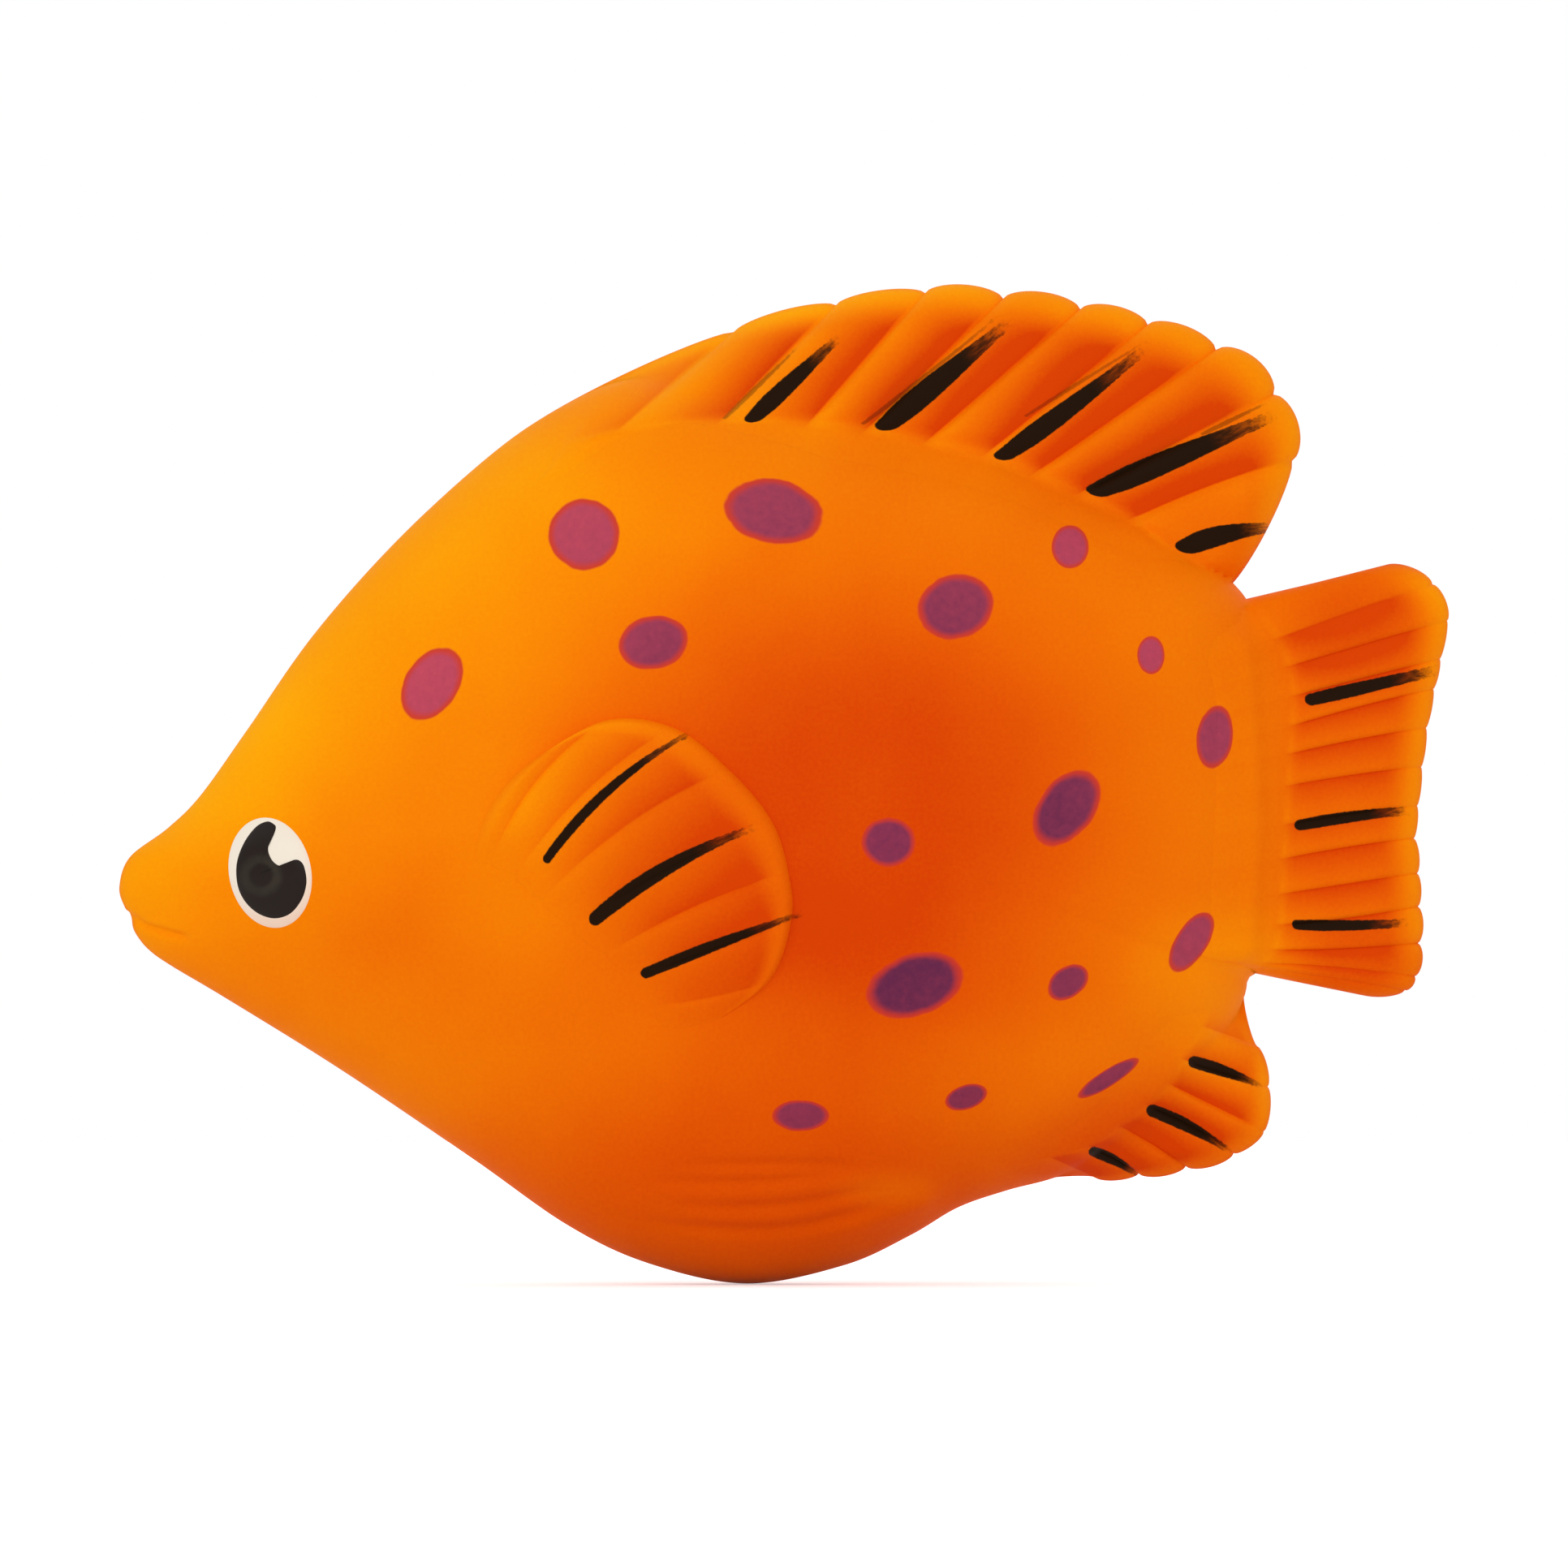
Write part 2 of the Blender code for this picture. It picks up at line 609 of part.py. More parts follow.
body_rim = add_part("body_rim", dome_mesh("body_rim"), ORANGE)
mirror_across_middle(body_rim)
opening = oval_block("flank_opening", FLANK_HALF_LENGTH + CLEARANCE, FLANK_HALF_HEIGHT + CLEARANCE,
                     2 * BODY_THICKNESS)
cut(body_rim, add_cutter("flank_opening", opening))
cut(body_rim, belly_tool())
cut(body_rim, mouth_tool())
for fin in fins:
    fin.build(RED_ORANGE)
    cut(body_rim, fin.groove())

core = oval_block("foam_core", FLANK_HALF_LENGTH, FLANK_HALF_HEIGHT, CORE_THICKNESS)
add_part("foam_core", core, FOAM_YELLOW, 0.9)
for prefix, side in (("left_", -1), ("right_", 1)):
    flank(prefix + "flank", side)
    pectoral_fin(prefix + "pectoral_fin", side)
    pelvic_fin(prefix + "pelvic_fin", side)
    eye(prefix + "eye", side)
    pupil(prefix + "pupil", side)
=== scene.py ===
# %% [markdown]
# # A squeeze fish, worked out as surfaces
# The real toy is one soft foam moulding with a sprayed and brushed skin. This lesson dresses its packed
# model: every soft solid gets a finer surface in its place, and each surface gets its paint from nodes.
# Nothing is sculpted by hand, because a formula can be changed and run again.

# %% Load the imported model
import json
from math import pi, radians

import bmesh
import bpy
import numpy as np
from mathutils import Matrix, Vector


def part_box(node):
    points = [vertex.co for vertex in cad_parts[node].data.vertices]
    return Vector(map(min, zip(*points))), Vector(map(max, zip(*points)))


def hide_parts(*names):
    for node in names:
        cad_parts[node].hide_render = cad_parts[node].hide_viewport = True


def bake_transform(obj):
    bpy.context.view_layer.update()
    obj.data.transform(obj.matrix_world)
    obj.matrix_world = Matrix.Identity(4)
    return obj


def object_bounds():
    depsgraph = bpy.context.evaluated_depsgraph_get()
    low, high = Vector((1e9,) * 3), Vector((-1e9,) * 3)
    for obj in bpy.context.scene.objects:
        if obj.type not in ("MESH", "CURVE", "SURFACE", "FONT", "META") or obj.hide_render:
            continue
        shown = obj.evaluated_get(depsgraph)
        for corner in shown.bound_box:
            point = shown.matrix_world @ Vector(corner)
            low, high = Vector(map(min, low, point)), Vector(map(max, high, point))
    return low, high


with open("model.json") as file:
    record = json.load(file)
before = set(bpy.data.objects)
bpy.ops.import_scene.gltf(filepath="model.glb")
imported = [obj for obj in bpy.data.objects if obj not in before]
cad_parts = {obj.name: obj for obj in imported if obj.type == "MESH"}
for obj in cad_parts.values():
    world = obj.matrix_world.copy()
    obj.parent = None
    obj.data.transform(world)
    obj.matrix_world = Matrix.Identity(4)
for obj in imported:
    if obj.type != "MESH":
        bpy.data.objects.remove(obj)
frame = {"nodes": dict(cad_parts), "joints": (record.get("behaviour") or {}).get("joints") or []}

MM = 0.001
cad_low, cad_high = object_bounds()
print("solids:", len(frame["nodes"]), "box in mm:", [round(side / MM, 1) for side in cad_high - cad_low])

# %% [markdown]
# ## Reading places off the photograph
# The toy is seen straight from its left side, so a place on it is a pixel across and a pixel down. Its length
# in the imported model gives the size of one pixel. The same pixel then places the outline, the fins and each
# painted mark, and they stay in step with each other.

# %% Pixels to metres
NOSE_U, TAIL_U = 148.0, 1783.0
BELLY_V = 1581.5
PHOTO_SIDE = 1932.0
PIXEL = (cad_high.x - cad_low.x) / (TAIL_U - NOSE_U)


def from_photo(points):
    """X and Z in metres: pixels right of the nose and pixels above the belly, times a pixel's size."""
    points = np.asarray(points, float)
    across = cad_low.x + (points[..., 0] - NOSE_U) * PIXEL
    return np.stack([across, (BELLY_V - points[..., 1]) * PIXEL], axis=-1)


print("one pixel in mm:", round(PIXEL / MM, 4))

# %% [markdown]
# ## Curves and steps
# Outlines are drawn through a few points. A Catmull-Rom curve passes through every point, which a Bezier
# needs handles for, and it works on whole arrays at once.

# %% Curve helpers
CURVE_SAMPLES = 6001


def smooth_curve(points, shares, closed=False):
    """Curve through the points, at shares from 0 to 1 along them.

    Each span is a cubic. At a point its slope is half the way from the point before to the point after.
    """
    points = np.asarray(points, float)
    count = len(points)
    spans = count if closed else count - 1
    place = np.clip(shares, 0.0, 1.0) * spans
    span = np.minimum(place.astype(int), spans - 1)
    f = (place - span)[..., None]
    near = [span + step for step in (-1, 0, 1, 2)]
    near = [i % count if closed else np.clip(i, 0, count - 1) for i in near]
    a, b, c, d = (points[i] for i in near)
    return b + 0.5 * f * (c - a + f * (2 * a - 5 * b + 4 * c - d + f * (3 * (b - c) + d - a)))


def crowded_shares(points, count, crowd_at, crowd_width, crowd):
    """Shares along a closed curve whose spacing is even, but crowd times finer near one point.

    The running sum of length times density is cut into equal parts.
    """
    fine = np.linspace(0.0, 1.0, CURVE_SAMPLES)
    curve = smooth_curve(points, fine, closed=True)
    steps = np.hypot(*np.diff(curve, axis=0).T)
    middle = (curve[1:] + curve[:-1]) / 2
    away = np.hypot(*(middle - crowd_at).T) / crowd_width
    density = 1.0 + (crowd - 1.0) * np.exp(-away ** 2)
    total = np.concatenate([[0.0], np.cumsum(steps * density)])
    return np.interp(np.arange(count) / count, total / total[-1], fine)


def ease(value, low, high):
    """Smooth step from 0 at low to 1 at high: three t squared less two t cubed."""
    t = np.clip((value - low) / (high - low), 0.0, 1.0)
    return t * t * (3.0 - 2.0 * t)


print("curve helpers ready")

# %% [markdown]
# ## From a grid to a closed piece
# Every piece below is a grid of points with two parameters. Joining four neighbours gives a face. Where a row
# shrinks to one point or two edges meet, the doubles are merged, so seams and poles are closed, and the faces
# are then turned outwards.

# %% Grid to mesh
MERGE = 0.001 * MM
SHARP = radians(50)


def surface(name, grid, marks, loop_columns=False, loop_rows=False):
    """Closed mesh of a grid of points. marks are values per point that the paint reads."""
    columns, rows = grid.shape[:2]
    index = np.arange(columns * rows).reshape(columns, rows)
    if loop_columns:
        index = np.concatenate([index, index[:1]])
    if loop_rows:
        index = np.concatenate([index, index[:, :1]], axis=1)
    corners = (index[:-1, :-1], index[1:, :-1], index[1:, 1:], index[:-1, 1:])
    faces = np.stack(corners, axis=-1).reshape(-1, 4)
    mesh = bpy.data.meshes.new(name)
    mesh.from_pydata(grid.reshape(-1, 3).tolist(), [], faces.tolist())
    for mark, values in marks.items():
        layer = mesh.attributes.new(mark, "FLOAT", "POINT")
        layer.data.foreach_set("value", np.broadcast_to(values, (columns, rows)).astype(np.float32).ravel())
    work = bmesh.new()
    work.from_mesh(mesh)
    bmesh.ops.remove_doubles(work, verts=work.verts, dist=MERGE)
    bmesh.ops.recalc_face_normals(work, faces=work.faces)
    work.to_mesh(mesh)
    work.free()
    mesh.shade_smooth()
    mesh.set_sharp_from_angle(angle=SHARP)
    piece = bpy.data.objects.new(name, mesh)
    bpy.context.scene.collection.objects.link(piece)
    mesh.calc_loop_triangles()
    print(name, "triangles:", len(mesh.loop_triangles))
    return piece


print("grid helper ready")

# %% [markdown]
# ## The body's dome
# The mould has two halves that meet at the middle plane, so the body is one outline that is drawn in towards
# its centre while it rises to the side. The section is a superellipse: fuller than an ellipse, as foam is.
# The nose is thinner than the middle and the rear is a little thinner too.

# %% Outline and height of the side
BODY_EDGE = from_photo([
    (147, 1093), (160, 1056), (207, 1020), (247, 980), (304, 900), (388, 780), (495, 660), (615, 552),
    (700, 497), (770, 468), (850, 464), (940, 482), (1040, 516), (1130, 541), (1250, 576), (1345, 617),
    (1440, 664), (1517, 716), (1550, 775), (1563, 900), (1567, 1000), (1563, 1100), (1560, 1168),
    (1550, 1196), (1538, 1206), (1533, 1228), (1512, 1268), (1440, 1350), (1380, 1406), (1310, 1447),
    (1240, 1467), (1180, 1488), (1120, 1523), (1040, 1559), (920, BELLY_V), (800, 1557), (700, 1510),
    (580, 1426), (420, 1318), (280, 1231), (211, 1190), (183, 1170), (167, 1150), (161, 1134), (154, 1119),
])
BODY_CENTRE = from_photo((960, 1000))
SECTION_POWER = 2.4
MIDDLE_HALF = -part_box("left_flank")[0].y
NOSE_HALF = 8.0 * MM
REAR_HALF = 15.5 * MM
HEAD_TAPER = 45.0 * MM
HEAD_POWER = 1.6
BODY_LENGTH = 90.0 * MM
EDGE_SAMPLES = 4000


def fullness(x):
    """Half thickness of the body's middle at x: less at the nose by a power, less at the rear by a square."""
    from_nose = x - cad_low.x
    head = np.clip(from_nose / HEAD_TAPER, 0.0, 1.0)
    rear = np.clip((from_nose - HEAD_TAPER) / (BODY_LENGTH - HEAD_TAPER), 0.0, 1.0)
    nose_loss = (MIDDLE_HALF - NOSE_HALF) * (1.0 - head) ** HEAD_POWER
    rear_loss = (MIDDLE_HALF - REAR_HALF) * rear ** 2
    return MIDDLE_HALF - nose_loss - rear_loss


edge_shares = np.linspace(0.0, 1.0, EDGE_SAMPLES, endpoint=False)
edge_fine = smooth_curve(BODY_EDGE, edge_shares, closed=True) - BODY_CENTRE
edge_angles = np.arctan2(edge_fine[:, 1], edge_fine[:, 0])
edge_order = np.argsort(edge_angles)
EDGE_ANGLES = edge_angles[edge_order]
EDGE_REACH = np.hypot(edge_fine[:, 0], edge_fine[:, 1])[edge_order]


def from_centre(x, z):
    """Distance from the body's centre, and the distance of the outline in that direction."""
    away_x, away_z = x - BODY_CENTRE[0], z - BODY_CENTRE[1]
    edge = np.interp(np.arctan2(away_z, away_x), EDGE_ANGLES, EDGE_REACH, period=2 * pi)
    return np.hypot(away_x, away_z), edge


def side_height(x, z):
    """Height of the side over the middle plane.

    With s as the share of the way from the centre to the outline, it is the fullness times the root of
    1 less s to the section's power.
    """
    away, edge = from_centre(x, z)
    return fullness(x) * np.sqrt(1.0 - np.minimum(away / edge, 1.0) ** SECTION_POWER)


print("half thickness at the middle in mm:", round(MIDDLE_HALF / MM, 2))

# %% [markdown]
# ## Mouth fold and belly ribs
# Two shallow forms are pressed into the skin by the mould: the fold of the mouth, and a low leaf-shaped fin
# under the belly with four furrows that run together at its tip. Painted lines would vanish when the light
# moves, so both are real relief.

# %% Relief of the skin
MOUTH_FOLD = from_photo([(157, 1126), (178, 1141), (205, 1149), (240, 1158)])
MOUTH_DEPTH = 0.34 * MM
MOUTH_WIDTH = 0.30 * MM
FURROWS = [
    [(800, 1440), (838, 1436), (917, 1434), (1000, 1434), (1083, 1436)],
    [(770, 1452), (814, 1454), (917, 1456), (996, 1450), (1060, 1440)],
    [(790, 1478), (842, 1484), (917, 1487), (996, 1481), (1055, 1469), (1110, 1458)],
    [(745, 1490), (778, 1499), (826, 1508), (909, 1515), (976, 1512), (1016, 1504), (1075, 1487),
     (1125, 1470)],
]
FURROW_DEPTH = 0.30 * MM
FURROW_WIDTH = 0.50 * MM
FURROW_FADES = (0.45, 0.3)
LEAF_KEEL = [(960, 1530), (1040, 1511), (1100, 1490), (1158, 1471)]
KEEL_HEIGHT = 0.30 * MM
KEEL_WIDTH = 0.95 * MM
KEEL_FADES = (0.6, 0.12)
LINE_SAMPLES = 25


def nearest_on_path(x, z, path):
    """Distance from a drawn line, and the share of its length where each point is nearest to it."""
    spans = np.diff(path, axis=0)
    lengths = np.hypot(spans[:, 0], spans[:, 1])
    starts = np.concatenate([[0.0], np.cumsum(lengths)])
    gap = np.full(x.shape, np.inf)
    share = np.zeros(x.shape)
    for begin, span, length, start in zip(path, spans, lengths, starts):
        t = np.clip(((x - begin[0]) * span[0] + (z - begin[1]) * span[1]) / length ** 2, 0.0, 1.0)
        here = np.hypot(x - begin[0] - t * span[0], z - begin[1] - t * span[1])
        share = np.where(here < gap, (start + t * length) / starts[-1], share)
        gap = np.minimum(gap, here)
    return gap, share


def soft_line(x, z, points, width, fade_in, fade_out):
    """Bell-shaped line through the points: 1 on the line, fading over its width and towards its two ends."""
    path = smooth_curve(from_photo(points), np.linspace(0.0, 1.0, LINE_SAMPLES))
    gap, share = nearest_on_path(x, z, path)
    return np.exp(-(gap / width) ** 2) * ease(share, 0.0, fade_in) * (1.0 - ease(share, 1.0 - fade_out, 1.0))


def skin_relief(x, z):
    """How far the skin stands above the plain dome: less at the mouth and the furrows, more at the keel."""
    gap, share = nearest_on_path(x, z, MOUTH_FOLD)
    along_fold = (0.6 + 0.4 * ease(share, 0.05, 0.3)) * (1.0 - ease(share, 0.75, 1.0))
    relief = -MOUTH_DEPTH * np.exp(-(gap / MOUTH_WIDTH) ** 2) * along_fold
    for furrow in FURROWS:
        relief = relief - FURROW_DEPTH * soft_line(x, z, furrow, FURROW_WIDTH, *FURROW_FADES)
    return relief + KEEL_HEIGHT * soft_line(x, z, LEAF_KEEL, KEEL_WIDTH, *KEEL_FADES)


print("mouth fold in mm:", MOUTH_DEPTH / MM, "furrows:", len(FURROWS))

# %% [markdown]
# ## The two body halves
# One skin can follow only one joint, and the two flanks press in from opposite sides. So each half of the
# mould becomes a piece of its own, closed by the middle plane.

# %% Make the body halves
RIM_COLUMNS = 620
SIDE_RINGS = 118
MOUTH_CROWD = 7.0
MOUTH_CROWD_WIDTH = 4.0 * MM


def body_half(name, side):
    """Half of the body: the outline drawn in by cos to the power 2/p while the height goes as sin.

    The relief is added along the surface's own normal, the cross product of its two directions.
    """
    shares = crowded_shares(BODY_EDGE, RIM_COLUMNS, MOUTH_FOLD[1], MOUTH_CROWD_WIDTH, MOUTH_CROWD)
    rim = smooth_curve(BODY_EDGE, shares, closed=True)
    lean = np.linspace(0.0, pi / 2, SIDE_RINGS)
    inward = np.cos(lean) ** (2.0 / SECTION_POWER)
    plan = BODY_CENTRE + inward[None, :, None] * (rim[:, None] - BODY_CENTRE)
    x, z = plan[..., 0], plan[..., 1]
    points = np.stack([x, -fullness(x) * np.sin(lean), z], axis=-1)
    round_the_rim = np.roll(points, -1, axis=0) - np.roll(points, 1, axis=0)
    normal = np.cross(round_the_rim, np.gradient(points, axis=1))
    normal /= np.maximum(np.linalg.norm(normal, axis=-1, keepdims=True), 1e-12)
    outward = points - np.array([BODY_CENTRE[0], 0.0, BODY_CENTRE[1]])
    normal *= np.sign(np.sum(normal * outward, axis=-1, keepdims=True))
    points = points + normal * skin_relief(x, z)[..., None]
    points[:, 0, 1] = 0.0
    middle = np.broadcast_to([BODY_CENTRE[0], 0.0, BODY_CENTRE[1]], (RIM_COLUMNS, 1, 3))
    grid = np.concatenate([middle, points], axis=1) * np.array([1.0, -side, 1.0])
    return surface(name, grid, {}, loop_columns=True)


left_skin = body_half("left_body_skin", -1)
right_skin = body_half("right_body_skin", 1)

# %% [markdown]
# ## Fins with rays
# The back fin, the tail and the fin under it are fans of rays. Each ray rises to a crest on one side and
# falls away on the other, like shingles, and its end is a round lobe. A fin is a grid of rays against reach:
# columns run along the root from groove to groove, and rows go out from inside the body to the edge.
#
# On the real toy a fin flows out of the body without a seam. Two surfaces that cross would show a hard
# crease, so near the root the fin takes the larger of its own height and the body's, with the corner rounded.

# %% Ray and root helpers
RAY_COLUMNS = 22
CREST_SCALE, CREST_RISE, CREST_FALL = 1.2, 0.09, 0.75
LOBE_POWER = 0.62
COVE_INSIDE = 1.2 * MM
COVE_REACH = 3.8 * MM


def crest(phase):
    """Height of a ray across its width: an exponential rise out of the groove times a slow fall."""
    rise = 1.0 - np.exp(-phase / CREST_RISE)
    return CREST_SCALE * rise * np.clip(1.0 - phase, 0.0, 1.0) ** CREST_FALL


def ray_columns(count):
    """Place along the root counted in rays, the ray that each column is in, and its phase across that ray."""
    along = np.linspace(0.0, count, count * RAY_COLUMNS + 1)
    ray = np.minimum(along.astype(int), count - 1)
    return along, ray, along - ray


def per_column(values, along):
    """Values for each groove, or one for all, at each column: straight lines between grooves."""
    grooves = np.arange(int(round(along[-1])) + 1)
    return np.interp(along, grooves, np.broadcast_to(values, grooves.shape))


def left_of(direction):
    """Unit direction a quarter turn to the left of each direction in the middle plane."""
    turned = np.stack([-direction[..., 1], direction[..., 0]], axis=-1)
    return turned / np.maximum(np.linalg.norm(turned, axis=-1, keepdims=True), 1e-9)


def rounded_max(first, second, width):
    """Larger of two heights, rounded where they are nearly the same.

    The rounding adds a quarter of the width times the square of how near they are, 1 where they are equal.
    """
    near = np.clip(1.0 - np.abs(first - second) / width, 0.0, 1.0)
    return np.maximum(first, second) + 0.25 * width * near ** 2


def fan_edge(tips, bulges, root, ray, phase):
    """Edge of a fan: the chord from notch to notch, pushed outwards by a power of the parabola over it."""
    span = tips[ray + 1] - tips[ray]
    chord = tips[ray] + phase[:, None] * span
    push = left_of(span)
    push *= np.sign(np.sum(push * (chord - root), axis=-1, keepdims=True))
    hump = np.clip(4.0 * phase * (1.0 - phase), 0.0, 1.0) ** LOBE_POWER
    return chord + push * (bulges[ray] * hump)[:, None]


def root_cove(plan, height):
    """Extra half thickness that sweeps up to the body: a parabola that falls from just inside its outline."""
    away, edge = from_centre(plan[..., 0], plan[..., 1])
    return height * np.clip(1.0 - (away - edge + COVE_INSIDE) / COVE_REACH, 0.0, 1.0) ** 2


def hollow_red_and_shade(phase, reach, root_fade, edge_fade):
    """How much red spray and painted shade lie on a ray: a power of the phase, below 0 on the crest as
    painted light, and none at root and edge.
    """
    behind = 1.3 * phase ** 1.4 - 0.3
    return behind * ease(reach, *root_fade) * (1.0 - ease(reach, *edge_fade))


print("ray crest at a tenth and a half of a ray:", crest(np.array([0.1, 0.5])).round(2))

# %% Fin surface
INNER_ROWS = 16
OUTER_ROWS = 42
EDGE_CROWD = 1.7
THINNING = 1.4
SHORTEST_RAY = 0.5 * MM
ROOT_SUNK = 0.015 * MM
END_SUNK = 0.25 * MM
INNER_TUCK = 0.4 * MM
ROOT_LIMIT = 10.0 * MM
ROOT_FILLET = 3.4 * MM


def round_border(share):
    """Quarter ellipse: 1 up to the border, then the root of 1 less the square of the share of the way in."""
    return np.sqrt(1.0 - np.clip(share, 0.0, 1.0) ** 2)


def fan_ends(along, count, ends):
    """Rise of the thickness, fade of the marks, fade of the fillet and depth under the skin, from both ends.

    Each end gives the rays of its rise, the rays of its fade and whether it flows into the body. There the
    rise is a smooth step, the end itself lies deeper, and the next rays cover the skin by a hair. A free end
    rises as a quarter ellipse, so its border is round, and its fillet fades too.
    """
    rise, fade, fillet = np.ones((3, len(along), 1))
    sunk = np.full((len(along), 1), ROOT_SUNK)
    for from_end, (rise_rays, fade_rays, flows) in zip((along[:, None], count - along[:, None]), ends):
        share = from_end / rise_rays
        rise = rise * (ease(share, 0.0, 1.0) if flows else round_border(1.0 - share))
        fade = fade * ease(from_end, 0.0, fade_rays)
        if flows:
            deeper = END_SUNK * (1.0 - ease(from_end, 0.0, 0.3))
            cover = 2 * ROOT_SUNK * (1.0 - ease(from_end, 1.0, 2.0))
            sunk = sunk + deeper - cover
        else:
            fillet = fillet * ease(from_end, 0.0, fade_rays)
    return rise, fade, fillet, sunk


def fan_fin(name, rays, root_half, edge_half, cove, rounding, inner_depth, ridge, ends, falls=False):
    """Closed fin whose half thickness falls from root to edge, with ridges on it and round borders.

    rays lists each groove's root, notch, bulge of the lobe after it and bow of the groove itself. Thicknesses
    are in millimetres. Where falls is true, a ray's crest lies before the next groove and not after its own.
    """
    roots, tips = from_photo([r[0] for r in rays]), from_photo([r[1] for r in rays])
    bulges, bows = np.array([r[2] for r in rays]) * PIXEL, np.array([r[3] for r in rays]) * PIXEL
    count = len(rays) - 1
    along, ray, phase = ray_columns(count)
    root = smooth_curve(roots, along / count)
    edge = fan_edge(tips, bulges, root, ray, phase)
    out = edge - root
    length = np.maximum(np.linalg.norm(out, axis=-1), SHORTEST_RAY)[:, None]
    inner = np.linspace(-1.0, 0.0, INNER_ROWS, endpoint=False)
    outer = 1.0 - (1.0 - np.linspace(0.0, 1.0, OUTER_ROWS)) ** EDGE_CROWD
    reach = np.concatenate([inner, outer])[None, :]
    shown = np.clip(reach, 0.0, 1.0)
    step = np.where(reach < 0.0, reach * inner_depth * MM / length, reach)
    plan = root[:, None] + step[..., None] * out[:, None]
    arch = per_column(bows, along)[:, None] * 4.0 * shown * (1.0 - shown)
    plan = plan + arch[..., None] * left_of(out)[:, None]
    tone = 1.0 - phase if falls else phase
    half_root, half_edge = per_column(root_half, along)[:, None] * MM, edge_half * MM
    half = half_edge + (half_root - half_edge) * (1.0 - shown) ** THINNING
    ridges = crest(tone)[:, None] * ease(shown, 0.0, 0.14) * (1.0 - 0.6 * ease(shown, 0.75, 1.0))
    half = half + per_column(ridge, along)[:, None] * MM * ridges
    rise, fade, fillet, sunk = fan_ends(along, count, ends)
    half = half + root_cove(plan, per_column(cove, along)[:, None] * MM) * fade
    border = np.minimum(per_column(rounding, along)[:, None] * MM / length, 1.0)
    half = half * round_border((shown - 1.0 + border) / border) * rise
    dome = side_height(plan[..., 0], plan[..., 1])
    room = np.clip(ROOT_LIMIT - half[:, :1], 0.5 * MM, ROOT_FILLET)
    half = rounded_max(half, dome, np.clip(dome * fillet, 1e-6, room))
    sunk = np.where(reach < 0.0, np.maximum(sunk, ROOT_SUNK), sunk)
    half = np.minimum(half - sunk * ease(dome, 0.0, 0.5 * MM), ROOT_LIMIT)
    half = half - INNER_TUCK * ease(-reach, 0.7, 1.0)
    left = np.stack([plan[..., 0], -np.maximum(half, 0.0), plan[..., 1]], axis=-1)
    right = left * np.array([1.0, -1.0, 1.0])
    grid = np.concatenate([left, right[:, -2::-1]], axis=1)
    # Red spray and painted shade in each hollow, and painted light on each crest.
    hollow = hollow_red_and_shade(tone[:, None], shown, (0.0, 0.12), (0.66, 0.94)) * fade
    # Painted highlight: a thin lighter line where each rib starts. The light mark is the pale edge paint plus
    # this highlight.
    glint = 0.35 * np.exp(-((shown - 0.04) / 0.03) ** 2) * crest(tone)[:, None]
    light = (ease(shown, 0.74, 0.98) + glint) * fade
    marks = {mark: np.concatenate([values, values[:, -2::-1]], axis=1)
             for mark, values in (("hollow", hollow), ("light", light))}
    flat = np.array([1.0, 0.0, 1.0])
    grid = np.concatenate([grid[:1] * flat, grid, grid[-1:] * flat])
    marks = {mark: np.concatenate([values[:1], values, values[-1:]]) for mark, values in marks.items()}
    return surface(name, grid, marks, loop_rows=True)


print("fin rows:", 2 * (INNER_ROWS + OUTER_ROWS) - 1)

# %% [markdown]
# ## Back fin, tail and under fin
# The lists give each groove's root, its notch at the edge, how far the lobe after it bulges, and how far the
# groove bows, all in pixels. Roots lie where the fin meets the body, and a few millimetres more run on inside
# it, so no gap opens when the fin bends. The first ray of the back fin starts inside the forehead and is as
# round as the body there.

# %% Make the three fins
BACK_RAYS = [
    ((655, 562), (640, 536), 12, 0), ((760, 536), (905, 409), 11, 0), ((886, 526), (1030, 376), 11, 0),
    ((993, 530), (1140, 361), 14, 0), ((1062, 538), (1236, 368), 15, 0), ((1136, 552), (1331, 381), 14, 0),
    ((1210, 566), (1414, 400), 15, 0), ((1268, 590), (1498, 431), 22, 0), ((1322, 614), (1569, 486), 20, 0),
    ((1388, 645), (1592, 568), 11, 6), ((1478, 712), (1513, 723), 0, 0),
]
BACK_HALF = (8.6, 9.2, 8.8, 7.4, 6.0, 5.0, 4.6, 4.2, 4.0, 3.6, 3.2)
BACK_COVE = (0.0, 0.0, 0.0, 0.2, 0.3, 0.5, 0.6, 0.7, 0.8, 1.0, 1.0)
BACK_ROUND = (12.0, 9.5, 5.5, 3.8, 3.5, 3.5, 3.5, 3.5, 3.5, 3.5, 3.5)
TAIL_RAYS = [
    ((1535, 738), (1705, 698), 11, 0), ((1566, 790), (1765, 720), 8, 0), ((1580, 824), (1783, 765), 3, 0),
    ((1586, 860), (1774, 812), 3, 0), ((1584, 897), (1766, 849), 3, 2), ((1582, 931), (1757, 897), 3, 2),
    ((1580, 970), (1751, 945), 3, 2), ((1577, 1018), (1746, 993), 3, 2), ((1574, 1060), (1742, 1033), 5, 2),
    ((1572, 1103), (1746, 1076), 5, 0), ((1570, 1140), (1747, 1117), 7, -3),
    ((1562, 1170), (1747, 1162), 8, -3), ((1546, 1186), (1743, 1203), 5, 3),
    ((1536, 1191), (1731, 1220), 9, 2), ((1526, 1195), (1664, 1219), 0, -1),
]
TAIL_RIDGE = (0.1, 0.2, 0.34, 0.36, 0.36, 0.36, 0.36, 0.36, 0.36, 0.36, 0.36, 0.3, 0.1, 0.0, 0.0)
